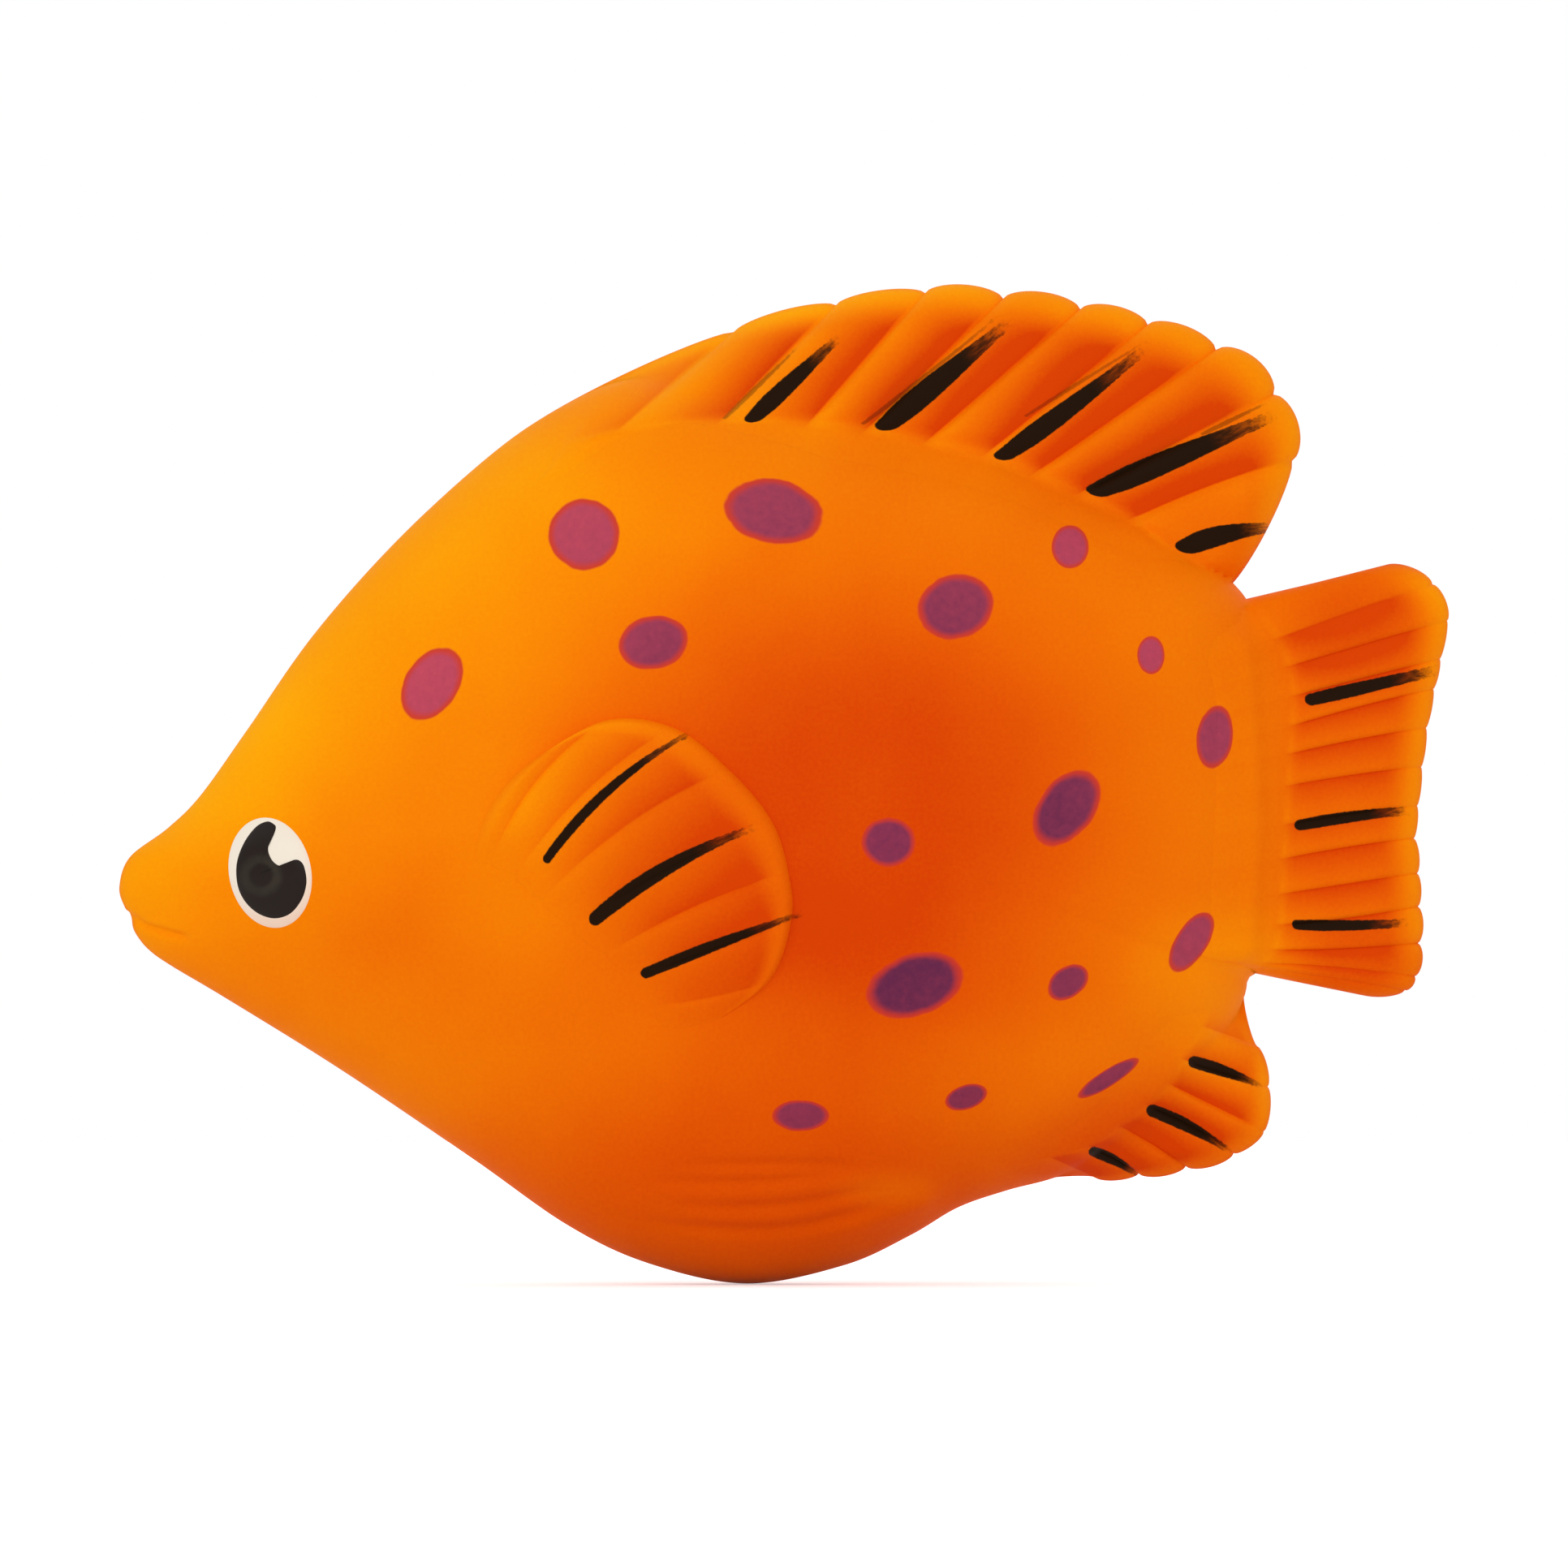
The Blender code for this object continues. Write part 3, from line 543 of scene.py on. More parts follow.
UNDER_RAYS = [
    ((1496, 1224), (1533, 1222), -4, 0), ((1478, 1264), (1549, 1289), 6, 0),
    ((1452, 1304), (1562, 1339), 6, 0), ((1436, 1334), (1557, 1394), 6, 0),
    ((1408, 1360), (1520, 1421), 9, 4), ((1376, 1386), (1461, 1437), 8, 2),
    ((1338, 1411), (1403, 1446), 6, 2), ((1290, 1424), (1350, 1451), -5, 0),
    ((1236, 1444), (1256, 1460), 0, 0),
]
UNDER_HALF = (4.6, 4.8, 4.2, 3.6, 3.4, 3.4, 3.4, 3.6, 4.0)
UNDER_COVE = (0.0, 0.8, 1.6, 1.6, 1.6, 1.6, 1.6, 1.4, 1.0)
UNDER_ROUND = (7.0, 4.5, 2.6, 2.6, 2.6, 2.6, 2.6, 3.2, 5.0)
UNDER_RIDGE = (0.0, 0.25, 0.42, 0.42, 0.42, 0.42, 0.4, 0.15, 0.0)
BACK_ENDS = ((0.8, 2.0, True), (0.3, 1.0, False))
TAIL_ENDS = ((0.8, 1.2, False), (1.6, 3.6, False))
UNDER_ENDS = ((1.0, 2.0, True), (1.0, 2.0, True))
back_fin = fan_fin("back_fin", BACK_RAYS, BACK_HALF, 2.3, BACK_COVE, BACK_ROUND, 5.0, 0.7, BACK_ENDS)
tail_fan = fan_fin("tail_fan", TAIL_RAYS, 3.4, 1.9, 2.4, 2.9, 7.0, TAIL_RIDGE, TAIL_ENDS, falls=True)
under_fin = fan_fin(
    "under_fin", UNDER_RAYS, UNDER_HALF, 1.7, UNDER_COVE, UNDER_ROUND, 4.5, UNDER_RIDGE, UNDER_ENDS)

# %% [markdown]
# ## Side fins
# The side fin lies on the flank. At the front it grows out of the skin with no edge, and behind it ends in a
# raised round rim. It is a patch that follows the dome: only its lift over the skin is new. The lift starts
# level with the skin, so the front fades in, and drops below it outside the rim.

# %% Make the side fins
SIDE_RAYS = [
    ((585, 1082), (662, 934), 24), ((600, 1090), (748, 888), 24), ((622, 1106), (832, 897), 20),
    ((648, 1134), (900, 949), 19), ((682, 1162), (951, 1010), 11), ((724, 1192), (972, 1074), 11),
    ((760, 1212), (975, 1134), 1), ((786, 1240), (946, 1210), -5), ((786, 1275), (862, 1270), -5),
]
SIDE_LIFT = 1.3 * MM
SIDE_SUNK = 0.3 * MM
SIDE_LEVEL = 0.03 * MM
SIDE_RIDGE = 0.36 * MM
SIDE_ROWS = 70
RIM_CROWD = 1.5
BEAD_LIFT, BEAD_PLACE, BEAD_WIDTH = 0.06 * MM, 0.92, 0.05
RIM_FROM = 0.95


def side_lift(reach, phase, along, count):
    """Lift of the side fin over the skin: a smooth rise to a low bead along the rim, then a round drop.

    Ridges are added between root and bead. Towards the first and last ray the lift fades to the skin.
    """
    lift = SIDE_LIFT * (1.0 - 0.3 * along / count) * ease(reach, 0.04, 0.8)
    bead = 1.0 - ease(along, count - 3.0, count - 1.2)
    lift = lift + BEAD_LIFT * bead * np.exp(-((reach - BEAD_PLACE) / BEAD_WIDTH) ** 2)
    lift = lift + SIDE_RIDGE * crest(phase) * ease(reach, 0.05, 0.42) * (1.0 - 0.75 * ease(reach, 0.8, 0.93))
    lift = lift * side_fade(along, count) - SIDE_LEVEL
    kept = round_border((reach - RIM_FROM) / (1.0 - RIM_FROM))
    for from_end in (along, count - along):
        kept = kept * round_border(1.0 - from_end / 0.15)
    return -SIDE_SUNK + (lift + SIDE_SUNK) * kept


def side_fade(along, count):
    """1 over most of the fin, easing to 0 at its first ray and over its last two."""
    return ease(along, 0.0, 0.6) * (1.0 - ease(along, count - 1.9, count - 0.15))


def side_fin(name, side):
    """Patch on the dome: curved rays from root to rim, lifted on top and sunk below."""
    count = len(SIDE_RAYS) - 1
    along, ray, phase = ray_columns(count)
    root = smooth_curve(from_photo([r[0] for r in SIDE_RAYS]), along / count)
    rim = smooth_curve(from_photo([r[1] for r in SIDE_RAYS]), along / count)
    bow = per_column([r[2] * PIXEL for r in SIDE_RAYS], along)[:, None]
    out = rim - root
    reach = 1.0 - (1.0 - np.linspace(0.0, 1.0, SIDE_ROWS)[None, :]) ** RIM_CROWD
    plan = root[:, None] + reach[..., None] * out[:, None]
    plan = plan + (bow * 4.0 * reach * (1.0 - reach))[..., None] * left_of(out)[:, None]
    x, z = plan[..., 0], plan[..., 1]
    skin = side_height(x, z)
    lift = side_lift(reach, phase[:, None], along[:, None], count)
    top = np.stack([x, side * (skin + lift), z], axis=-1)
    floor = np.stack([x, side * (skin - SIDE_SUNK), z], axis=-1)
    grid = np.concatenate([top, floor[:, -2:0:-1]], axis=1)
    fade = side_fade(along, count)[:, None]
    # Red spray and painted shade in each hollow, and painted light on each crest.
    hollow = hollow_red_and_shade(phase[:, None], reach, (0.08, 0.45), (0.84, 0.95)) * fade
    first_rays = 0.55 * (1.0 - ease(along, 1.2, 4.0))[:, None] * ease(reach, 0.1, 0.5)
    light = np.maximum(ease(reach, 0.82, 0.94), first_rays) * fade
    marks = {mark: np.concatenate([values, values[:, -2:0:-1]], axis=1)
             for mark, values in (("hollow", hollow), ("light", light))}
    return surface(name, grid, marks, loop_rows=True)


left_side_fin = side_fin("left_side_fin", -1)
right_side_fin = side_fin("right_side_fin", 1)

# %% [markdown]
# ## Eyes
# The eye is a low oval swelling that is painted white, and the pupil is a film of black paint with a notch
# left open as the glint. Both are pads: a floor under the skin and a roof above it, from the rim to a pole.

# %% Make the eyes
EYE_CENTRE = from_photo((335, 1075))
EYE_WIDE, EYE_TALL = 52.0 * PIXEL, 70.0 * PIXEL
EYE_LEAN = radians(12)
EYE_LIFT = 0.55 * MM
EYE_SUNK = 0.5 * MM
EYE_TUCK = 0.05 * MM
PUPIL_FILM = 0.07 * MM
PAD_RINGS = 4
ROOF_CROWD = 1.4
PUPIL_EDGE = from_photo([
    (339, 1015), (331, 1012), (318, 1018), (305, 1034), (296, 1054), (293, 1073), (296, 1095), (306, 1113),
    (322, 1126), (341, 1131), (360, 1125), (374, 1108), (380, 1088), (378, 1070), (373, 1061), (365, 1059),
    (354, 1065), (346, 1066), (338, 1060), (333, 1049), (334, 1038), (340, 1027), (342, 1019),
])
PUPIL_POLE = from_photo((316, 1078))


def eye_height(x, z):
    """Lift of the eye over the skin: 1 less the fourth power of the share of the way to its rim."""
    across, up = x - EYE_CENTRE[0], z - EYE_CENTRE[1]
    wide = (across * np.cos(EYE_LEAN) + up * np.sin(EYE_LEAN)) / EYE_WIDE
    tall = (up * np.cos(EYE_LEAN) - across * np.sin(EYE_LEAN)) / EYE_TALL
    return EYE_LIFT * (1.0 - np.minimum(wide ** 2 + tall ** 2, 1.0) ** 2)


def skin_pad(name, side, rim, pole, roof, rings):
    """Closed pad on the dome: the rim drawn to the pole twice, once under the skin and once at the roof."""
    low = np.linspace(0.0, 1.0, PAD_RINGS)
    high = 1.0 - np.linspace(0.0, 1.0, rings) ** ROOF_CROWD
    ring = np.concatenate([low, high])
    plan = pole + ring[None, :, None] * (rim[:, None] - pole)
    x, z = plan[..., 0], plan[..., 1]
    is_roof = np.arange(len(ring)) >= len(low)
    lift = np.where(is_roof[None, :], roof(x, z, ring[None, :]), -EYE_SUNK)
    grid = np.stack([x, side * (side_height(x, z) + lift), z], axis=-1)
    return surface(name, grid, {}, loop_columns=True)


def eye_roof(x, z, ring):
    """Eye white: the eye's lift, a hair below the skin at its rim."""
    return eye_height(x, z) - EYE_TUCK


def pupil_roof(x, z, ring):
    """Pupil: a film on the eye that thins out round its rim."""
    return eye_height(x, z) - EYE_TUCK + PUPIL_FILM * np.sqrt(np.maximum(1.0 - ring ** 8, 0.0))


turn = np.linspace(0.0, 2 * pi, 120, endpoint=False)
wide, tall = EYE_WIDE * np.cos(turn), EYE_TALL * np.sin(turn)
rim_across = wide * np.cos(EYE_LEAN) - tall * np.sin(EYE_LEAN)
rim_up = wide * np.sin(EYE_LEAN) + tall * np.cos(EYE_LEAN)
EYE_RIM = EYE_CENTRE + np.stack([rim_across, rim_up], axis=-1)
PUPIL_RIM = smooth_curve(PUPIL_EDGE, np.linspace(0.0, 1.0, 184, endpoint=False), closed=True)
eyes = {side: skin_pad(word + "_eye_white", side, EYE_RIM, EYE_CENTRE, eye_roof, 26)
        for word, side in (("left", -1), ("right", 1))}
pupils = {side: skin_pad(word + "_pupil_paint", side, PUPIL_RIM, PUPIL_POLE, pupil_roof, 22)
          for word, side in (("left", -1), ("right", 1))}

# %% [markdown]
# ## Painting with nodes
# The paint is built from nodes that read each point's place in millimetres, so it lies on both sides alike
# and needs no picture. A small class keeps the node code readable: it adds a node, and feeds each socket
# with either a number or another node's output.

# %% Node helper


def paint_colour(groove_red_and_shade, green, blue):
    """Linear colour of a paint that shows these screen values from 0 to 255."""
    shown = np.array([groove_red_and_shade, green, blue]) / 255.0
    linear = np.where(shown <= 0.04045, shown / 12.92, ((shown + 0.055) / 1.055) ** 2.4)
    return (*linear.tolist(), 1.0)


class PaintNodes:
    """Adds nodes to one shader tree."""

    def __init__(self, tree):
        self.tree = tree

    def feed(self, socket, value):
        """Link another node's output to a socket, or set its value."""
        if isinstance(value, bpy.types.NodeSocket):
            self.tree.links.new(value, socket)
        else:
            socket.default_value = value

    def add(self, kind, values=(), **settings):
        """New node with its settings, and values for its sockets by name or number."""
        made = self.tree.nodes.new(kind)
        for setting, value in settings.items():
            setattr(made, setting, value)
        for socket, value in dict(values).items():
            self.feed(made.inputs[socket], value)
        return made

    def math(self, operation, *numbers):
        made = self.add("ShaderNodeMath", dict(enumerate(numbers)), operation=operation)
        return made.outputs[0]

    def vector(self, operation, *vectors):
        made = self.add("ShaderNodeVectorMath", dict(enumerate(vectors)), operation=operation)
        return made.outputs["Value" if operation in ("DOT_PRODUCT", "LENGTH") else "Vector"]

    def ease(self, value, low, high, at_low=0.0, at_high=1.0):
        """Smooth step from at_low to at_high while value goes from low to high."""
        values = {"Value": value, "From Min": low, "From Max": high, "To Min": at_low, "To Max": at_high}
        made = self.add("ShaderNodeMapRange", values, interpolation_type="SMOOTHSTEP")
        return made.outputs["Result"]

    def noise(self, place, scale, detail=2.0, rough=0.5):
        values = {"Vector": place, "Scale": scale, "Detail": detail, "Roughness": rough}
        return self.add("ShaderNodeTexNoise", values).outputs["Fac"]

    def mix(self, factor, first, second):
        made = self.add("ShaderNodeMix", {0: factor, 6: first, 7: second}, data_type="RGBA")
        return made.outputs[2]

    def group(self, tree, values):
        made = self.tree.nodes.new("ShaderNodeGroup")
        made.node_tree = tree
        for socket, value in values.items():
            self.feed(made.inputs[socket], value)
        return made.outputs


def seen_directly(p):
    """1 for what the camera, a glossy or a clear surface sees, and 0 for the light that falls on things."""
    path = p.add("ShaderNodeLightPath").outputs
    seen = p.math("MINIMUM", p.math("ADD", path["Is Camera Ray"], path["Is Glossy Ray"]), 1.0)
    return p.math("MINIMUM", p.math("ADD", seen, path["Is Transmission Ray"]), 1.0)


def paint_group(name, inputs, outputs):
    """Empty node group with named sockets: its tree, helper, inputs and output node."""
    tree = bpy.data.node_groups.new(name, "ShaderNodeTree")
    for socket, kind in inputs:
        tree.interface.new_socket(name=socket, in_out="INPUT", socket_type="NodeSocket" + kind)
    for socket in outputs:
        tree.interface.new_socket(name=socket, in_out="OUTPUT", socket_type="NodeSocketFloat")
    nodes = PaintNodes(tree)
    return tree, nodes, nodes.add("NodeGroupInput").outputs, nodes.add("NodeGroupOutput").inputs


print("node helper ready")

# %% [markdown]
# ## Sprayed shade
# The foam is yellow orange and red orange is sprayed over it with an air brush: a broad cloud in the middle
# of the flank, another along the belly and small ones on the fins. A yellow band is left along the forehead.
# The shade is one number, from 0 for yellow to 1 for red, and a ramp turns it into colour. Spray lies in fine
# dots, so noise is added. Each cloud has a centre and half size in pixels, the share of the way out where it
# starts to fade, and its depth. A negative depth is a place that the spray left lighter.

# %% Spray group
BAND_FROM, BAND_TO = from_photo((150, 1060)), from_photo((760, 480))
BAND_WIDTH = 17.0
BAND_SHADE, OPEN_SHADE = 0.13, 0.40
band_along = (BAND_TO - BAND_FROM) / np.linalg.norm(BAND_TO - BAND_FROM)
CLOUDS = [
    ((1060, 990), (450, 380), 0.22, 0.45), ((960, 1452), (490, 205), 0.18, 0.31),
    ((1010, 1235), (400, 190), 0.2, 0.15), ((1700, 960), (165, 420), 0.45, 0.20),
    ((1650, 785), (140, 90), 0.2, 0.20), ((1680, 1185), (140, 55), 0.3, 0.20),
    ((1425, 1430), (215, 135), 0.25, 0.36), ((1495, 1205), (150, 125), 0.15, -0.20),
    ((290, 925), (190, 170), 0.2, -0.13), ((420, 1310), (260, 170), 0.2, -0.11),
    ((1092, 1462), (95, 34), 0.1, -0.16), ((630, 1050), (150, 190), 0.2, -0.10),
    ((790, 500), (270, 140), 0.2, 0.13), ((1130, 430), (330, 120), 0.4, 0.17),
    ((1430, 525), (240, 175), 0.4, 0.18),
]

spray, s, given, give = paint_group("sprayed_shade", [("Place", "Vector")], ["Shade"])
from_band = s.vector("SUBTRACT", given["Place"], (BAND_FROM[0] / MM, 0.0, BAND_FROM[1] / MM))
inward = s.vector("DOT_PRODUCT", from_band, (-band_along[1], 0.0, band_along[0]))
inward = s.math("ABSOLUTE", s.math("MINIMUM", inward, 0.0))
out_of_band = s.math("MINIMUM", s.math("DIVIDE", inward, BAND_WIDTH), 1.0)
shade = s.math("MULTIPLY_ADD", out_of_band, OPEN_SHADE, BAND_SHADE)
for centre, size, start, depth in CLOUDS:
    middle = from_photo(centre) / MM
    away = s.vector("SUBTRACT", given["Place"], (middle[0], 0.0, middle[1]))
    away = s.vector("DIVIDE", away, (size[0] * PIXEL / MM, 1.0, size[1] * PIXEL / MM))
    cloud = s.ease(s.vector("LENGTH", away), start, 1.0, depth, 0.0)
    shade = s.math("ADD", shade, cloud)
drift = s.math("MULTIPLY_ADD", s.noise(given["Place"], 0.12, 3.0), 0.16, -0.08)
dots = s.math("MULTIPLY_ADD", s.noise(given["Place"], 3.2, 1.0), 0.12, -0.06)
s.feed(give["Shade"], s.math("ADD", shade, s.math("ADD", drift, dots)))
print("spray group nodes:", len(spray.nodes))

# %% [markdown]
# ## Brushed spots and strokes
# A spot is a dab of purple: an oval whose edge is a little uneven, with a redder ring where the paint thins.
# A stroke starts at a slant, where the brush is set down, and narrows. It runs dry at its end, so the far
# third thins out in streaks. Both are groups, because the same dab and stroke are used many times.

# %% Spot and stroke groups
SPOT_WOBBLE = 0.14
SPOT_RIM, SPOT_DAB = (0.95, 1.03), (0.72, 0.98)
TAPER_SPAN, START_SPAN, DRY_SPAN, LIFT_SPAN = (0.3, 1.1), (-0.05, 0.25), (0.65, 1.04), (0.88, 1.03)
STROKE_RIM = (-0.06, 0.05)
RAGGED = 0.2
STREAK_STRETCH = 0.25
spot, s, given, give = paint_group(
    "brushed_spot",
    [("Place", "Vector"), ("Centre", "Vector"), ("Half Size", "Vector"), ("Lean", "Float")],
    ["Mask", "Body"],
)
away = s.vector("SUBTRACT", given["Place"], given["Centre"])
turned = s.add("ShaderNodeVectorRotate", {"Vector": away, "Angle": given["Lean"]}, rotation_type="Y_AXIS")
far = s.vector("LENGTH", s.vector("DIVIDE", turned.outputs[0], given["Half Size"]))
wobble = s.math("MULTIPLY_ADD", s.noise(given["Place"], 0.55, 2.0), SPOT_WOBBLE, -SPOT_WOBBLE / 2)
far = s.math("ADD", far, wobble)
s.feed(give["Mask"], s.ease(far, *SPOT_RIM, 1.0, 0.0))
s.feed(give["Body"], s.ease(far, *SPOT_DAB, 1.0, 0.0))

stroke, s, given, give = paint_group(
    "brush_stroke",
    [("Place", "Vector"), ("Start", "Vector"), ("End", "Vector"), ("Width", "Float"), ("Bow", "Float"),
     ("Tip", "Float"), ("Slant", "Float")],
    ["Mask"],
)
run = s.vector("SUBTRACT", given["End"], given["Start"])
ahead = s.vector("NORMALIZE", run)
beside = s.vector("CROSS_PRODUCT", ahead, (0.0, 1.0, 0.0))
from_start = s.vector("SUBTRACT", given["Place"], given["Start"])
gone = s.vector("DOT_PRODUCT", from_start, ahead)
share = s.math("DIVIDE", gone, s.vector("LENGTH", run))
arch = s.math("MULTIPLY", s.math("MULTIPLY", share, s.math("SUBTRACT", 1.0, share)), 4.0)
off = s.vector("DOT_PRODUCT", from_start, beside)
off = s.math("SUBTRACT", off, s.math("MULTIPLY", arch, given["Bow"]))
half_width = s.math("MULTIPLY", given["Width"], s.ease(share, *TAPER_SPAN, 0.5, given["Tip"]))
start_width = s.math("MULTIPLY_ADD", given["Slant"], -0.35, 0.92)
half_width = s.math("MULTIPLY", half_width, s.ease(share, *START_SPAN, start_width, 1.0))
set_down = s.math("MULTIPLY_ADD", off, given["Slant"], gone)
before = s.math("MINIMUM", s.math("SUBTRACT", set_down, half_width), 0.0)
far = s.math("SQRT", s.math("ADD", s.math("MULTIPLY", off, off), s.math("MULTIPLY", before, before)))
ragged = s.math("MULTIPLY_ADD", s.noise(given["Place"], 2.6, 2.0, 0.6), RAGGED, -RAGGED / 2)
dryness = s.ease(share, *DRY_SPAN)
ragged = s.math("MULTIPLY", ragged, s.math("MULTIPLY_ADD", dryness, 1.6, 0.7))
body = s.ease(s.math("SUBTRACT", s.math("ADD", far, ragged), half_width), *STROKE_RIM, 1.0, 0.0)
lift_off = s.ease(s.math("ADD", share, s.math("MULTIPLY", ragged, 0.5)), *LIFT_SPAN, 1.0, 0.0)
stretched = s.math("MULTIPLY", gone, STREAK_STRETCH)
streak_place = s.add("ShaderNodeCombineXYZ", {0: stretched, 1: 0.0, 2: off}).outputs[0]
streaks = s.noise(s.vector("ADD", streak_place, given["Start"]), 3.4, 2.0, 0.6)
bare = s.math("MULTIPLY", dryness, s.ease(streaks, 0.36, 0.68, 0.15, 0.7))
inked = s.math("MULTIPLY", lift_off, s.math("SUBTRACT", 1.0, bare))
s.feed(give["Mask"], s.math("MULTIPLY", body, inked))
print("spot nodes:", len(spot.nodes), "stroke nodes:", len(stroke.nodes))

# %% [markdown]
# ## Foam skin
# Moulded foam has a closed satin skin with fine pits, a slow waviness and a little unevenness in its gloss.
# One group gives the height for a bump and the roughness, and every foam finish uses it.

# %% Foam skin group
skin_grain, s, given, give = paint_group("foam_skin", [("Place", "Vector")], ["Height", "Roughness"])
pits = s.ease(s.noise(given["Place"], 2.6, 3.0, 0.6), 0.30, 0.48)
waves = s.noise(given["Place"], 0.45, 2.0)
s.feed(give["Height"], s.math("ADD", s.math("MULTIPLY", pits, 0.4), waves))
s.feed(give["Roughness"], s.math("MULTIPLY_ADD", s.noise(given["Place"], 0.7, 3.0), 0.16, 0.52))
print("foam skin nodes:", len(skin_grain.nodes))

# %% [markdown]
# ## The finishes
# Body and fins share one recipe: sprayed shade, a ramp of orange paints, then spots or strokes on top. On a
# fin the two marks of its grid tell where a point lies across its ray and how far out it is. The hollow
# behind each crest gets red spray and painted shade, the crest gets a little painted light, and the edge
# stays light in its paint, with a painted highlight where each rib starts on the fans.

# %% Foam finish recipe
SHADE_RAMP = [(0.0, (255, 170, 0)), (0.30, (251, 140, 0)), (0.55, (243, 115, 0)),
              (0.80, (232, 91, 0)), (1.0, (219, 67, 0))]
INK = paint_colour(34, 19, 7)
INK_LOAD = 0.08
SPOT_EDGE = paint_colour(205, 58, 40)
SPOT_LIGHT, SPOT_DEEP = paint_colour(196, 72, 97), paint_colour(97, 40, 77)
SPOT_COVER = 0.97
PARTING_AND_RIM_SHADE_SPAN, PARTING_AND_RIM_SHADE = (0.1, 1.1), 0.15
FOAM_SPECULAR = 0.025
INK_GLOSS = 0.14
FILM_BUMP = 0.05 * MM


def flat_place(p):
    """Place of a point in millimetres, the same with no Y for paint on both sides, and its three parts."""
    place = p.vector("SCALE", p.add("ShaderNodeTexCoord").outputs["Object"])
    place.node.inputs["Scale"].default_value = 1.0 / MM
    parts = p.add("ShaderNodeSeparateXYZ", {0: place}).outputs
    flat = p.add("ShaderNodeCombineXYZ", {0: parts["X"], 1: 0.0, 2: parts["Z"]}).outputs[0]
    return place, flat, parts


def in_millimetres(point):
    """Photo pixel as a place in millimetres on the middle plane."""
    x, z = from_photo(point) / MM
    return x, 0.0, z


def ray_shade(p, shade, hollow, pale_edge_and_highlight):
    """Shade on a fin by the marks of its grid: red spray and painted shade in the hollow behind each crest,
    painted light on the crest, and less along the pale edge and at the painted rib highlights.
    """
    groove_red_and_shade = p.add("ShaderNodeAttribute", attribute_name="hollow").outputs["Fac"]
    light = p.add("ShaderNodeAttribute", attribute_name="light").outputs["Fac"]
    shade = p.math("ADD", shade, p.math("MULTIPLY", groove_red_and_shade, hollow))
    return p.math("SUBTRACT", shade, p.math("MULTIPLY", light, pale_edge_and_highlight))


def painted_foam(name, spots, strokes, tip=0.2, slant=0.1, rays=None):
    """Material of painted foam.

    spots lists centre, size in pixels, lean and how thin the dab is. strokes lists start, end, width and bow
    in pixels, tip is the half width at their ends as a share of their width, and slant is how far one side of
    the brush is set down before the other. A hair of a stroke, a few pixels wide, carries less ink.
    """
    material = bpy.data.materials.new(name)
    material.use_nodes = True
    p = PaintNodes(material.node_tree)
    shader = material.node_tree.nodes["Principled BSDF"]
    place, flat, parts = flat_place(p)
    shade = p.group(spray, {"Place": flat})["Shade"]
    if rays is not None:
        shade = ray_shade(p, shade, *rays)
    # Darker band along the rim where the mould halves meet: partly the parting line, partly painted shade
    # where the rim turns away from the light.
    parting_and_rim_shade = p.ease(p.math("ABSOLUTE", parts["Y"]), *PARTING_AND_RIM_SHADE_SPAN, PARTING_AND_RIM_SHADE, 0.0)
    ramp = p.add("ShaderNodeValToRGB", {0: p.math("ADD", shade, parting_and_rim_shade)})
    stops = ramp.color_ramp.elements
    for _ in SHADE_RAMP[2:]:
        stops.new(0.5)
    for stop, (at, colour) in zip(stops, SHADE_RAMP):
        stop.position = at
        stop.color = paint_colour(*colour)
    colour = ramp.outputs["Color"]
    mask = dab = thin = 0.0
    for centre, (wide, tall), lean, thinness in spots:
        half_size = (wide * PIXEL / MM / 2, 1.0, tall * PIXEL / MM / 2)
        one = p.group(spot, {
            "Place": flat, "Centre": in_millimetres(centre), "Half Size": half_size, "Lean": radians(lean)})
        mask = p.math("MAXIMUM", mask, one["Mask"])
        dab = p.math("MAXIMUM", dab, one["Body"])
        thin = p.math("MULTIPLY_ADD", one["Mask"], thinness, thin)
    uneven = p.math("SUBTRACT", p.math("MULTIPLY_ADD", p.noise(place, 1.6), 0.3, -0.15), thin)
    purple = p.mix(p.math("ADD", p.math("MULTIPLY_ADD", shade, 0.85, 0.08), uneven), SPOT_LIGHT, SPOT_DEEP)
    colour = p.mix(p.math("MULTIPLY", mask, SPOT_COVER), colour, p.mix(dab, SPOT_EDGE, purple))
    grain = p.group(skin_grain, {"Place": place})
    rough = grain["Roughness"]
    ink = 0.0
    for start, end, width, bow in strokes:
        values = {"Place": flat, "Start": in_millimetres(start), "End": in_millimetres(end),
                  "Width": width * PIXEL / MM, "Bow": bow * PIXEL / MM, "Tip": tip, "Slant": slant}
        load = min(1.0, INK_LOAD * width)
        ink = p.math("MAXIMUM", ink, p.math("MULTIPLY", p.group(stroke, values)["Mask"], load))
    colour = p.mix(ink, colour, INK)
    rough = p.math("SUBTRACT", rough, p.math("MULTIPLY", ink, INK_GLOSS))
    bump = p.add("ShaderNodeBump", {"Height": grain["Height"], "Strength": 0.25, "Distance": FILM_BUMP})
    p.feed(shader.inputs["Base Color"], colour)
    p.feed(shader.inputs["Roughness"], rough)
    p.feed(shader.inputs["Normal"], bump.outputs["Normal"])
    shader.inputs["Specular IOR Level"].default_value = FOAM_SPECULAR
    print(name, "nodes:", len(material.node_tree.nodes))
    return material


# %% [markdown]
# ## Where the paint goes
# Spots and strokes are listed in pixels. A spot's lean turns its long side, and a stroke runs from where the
# brush was set down to where it was lifted.

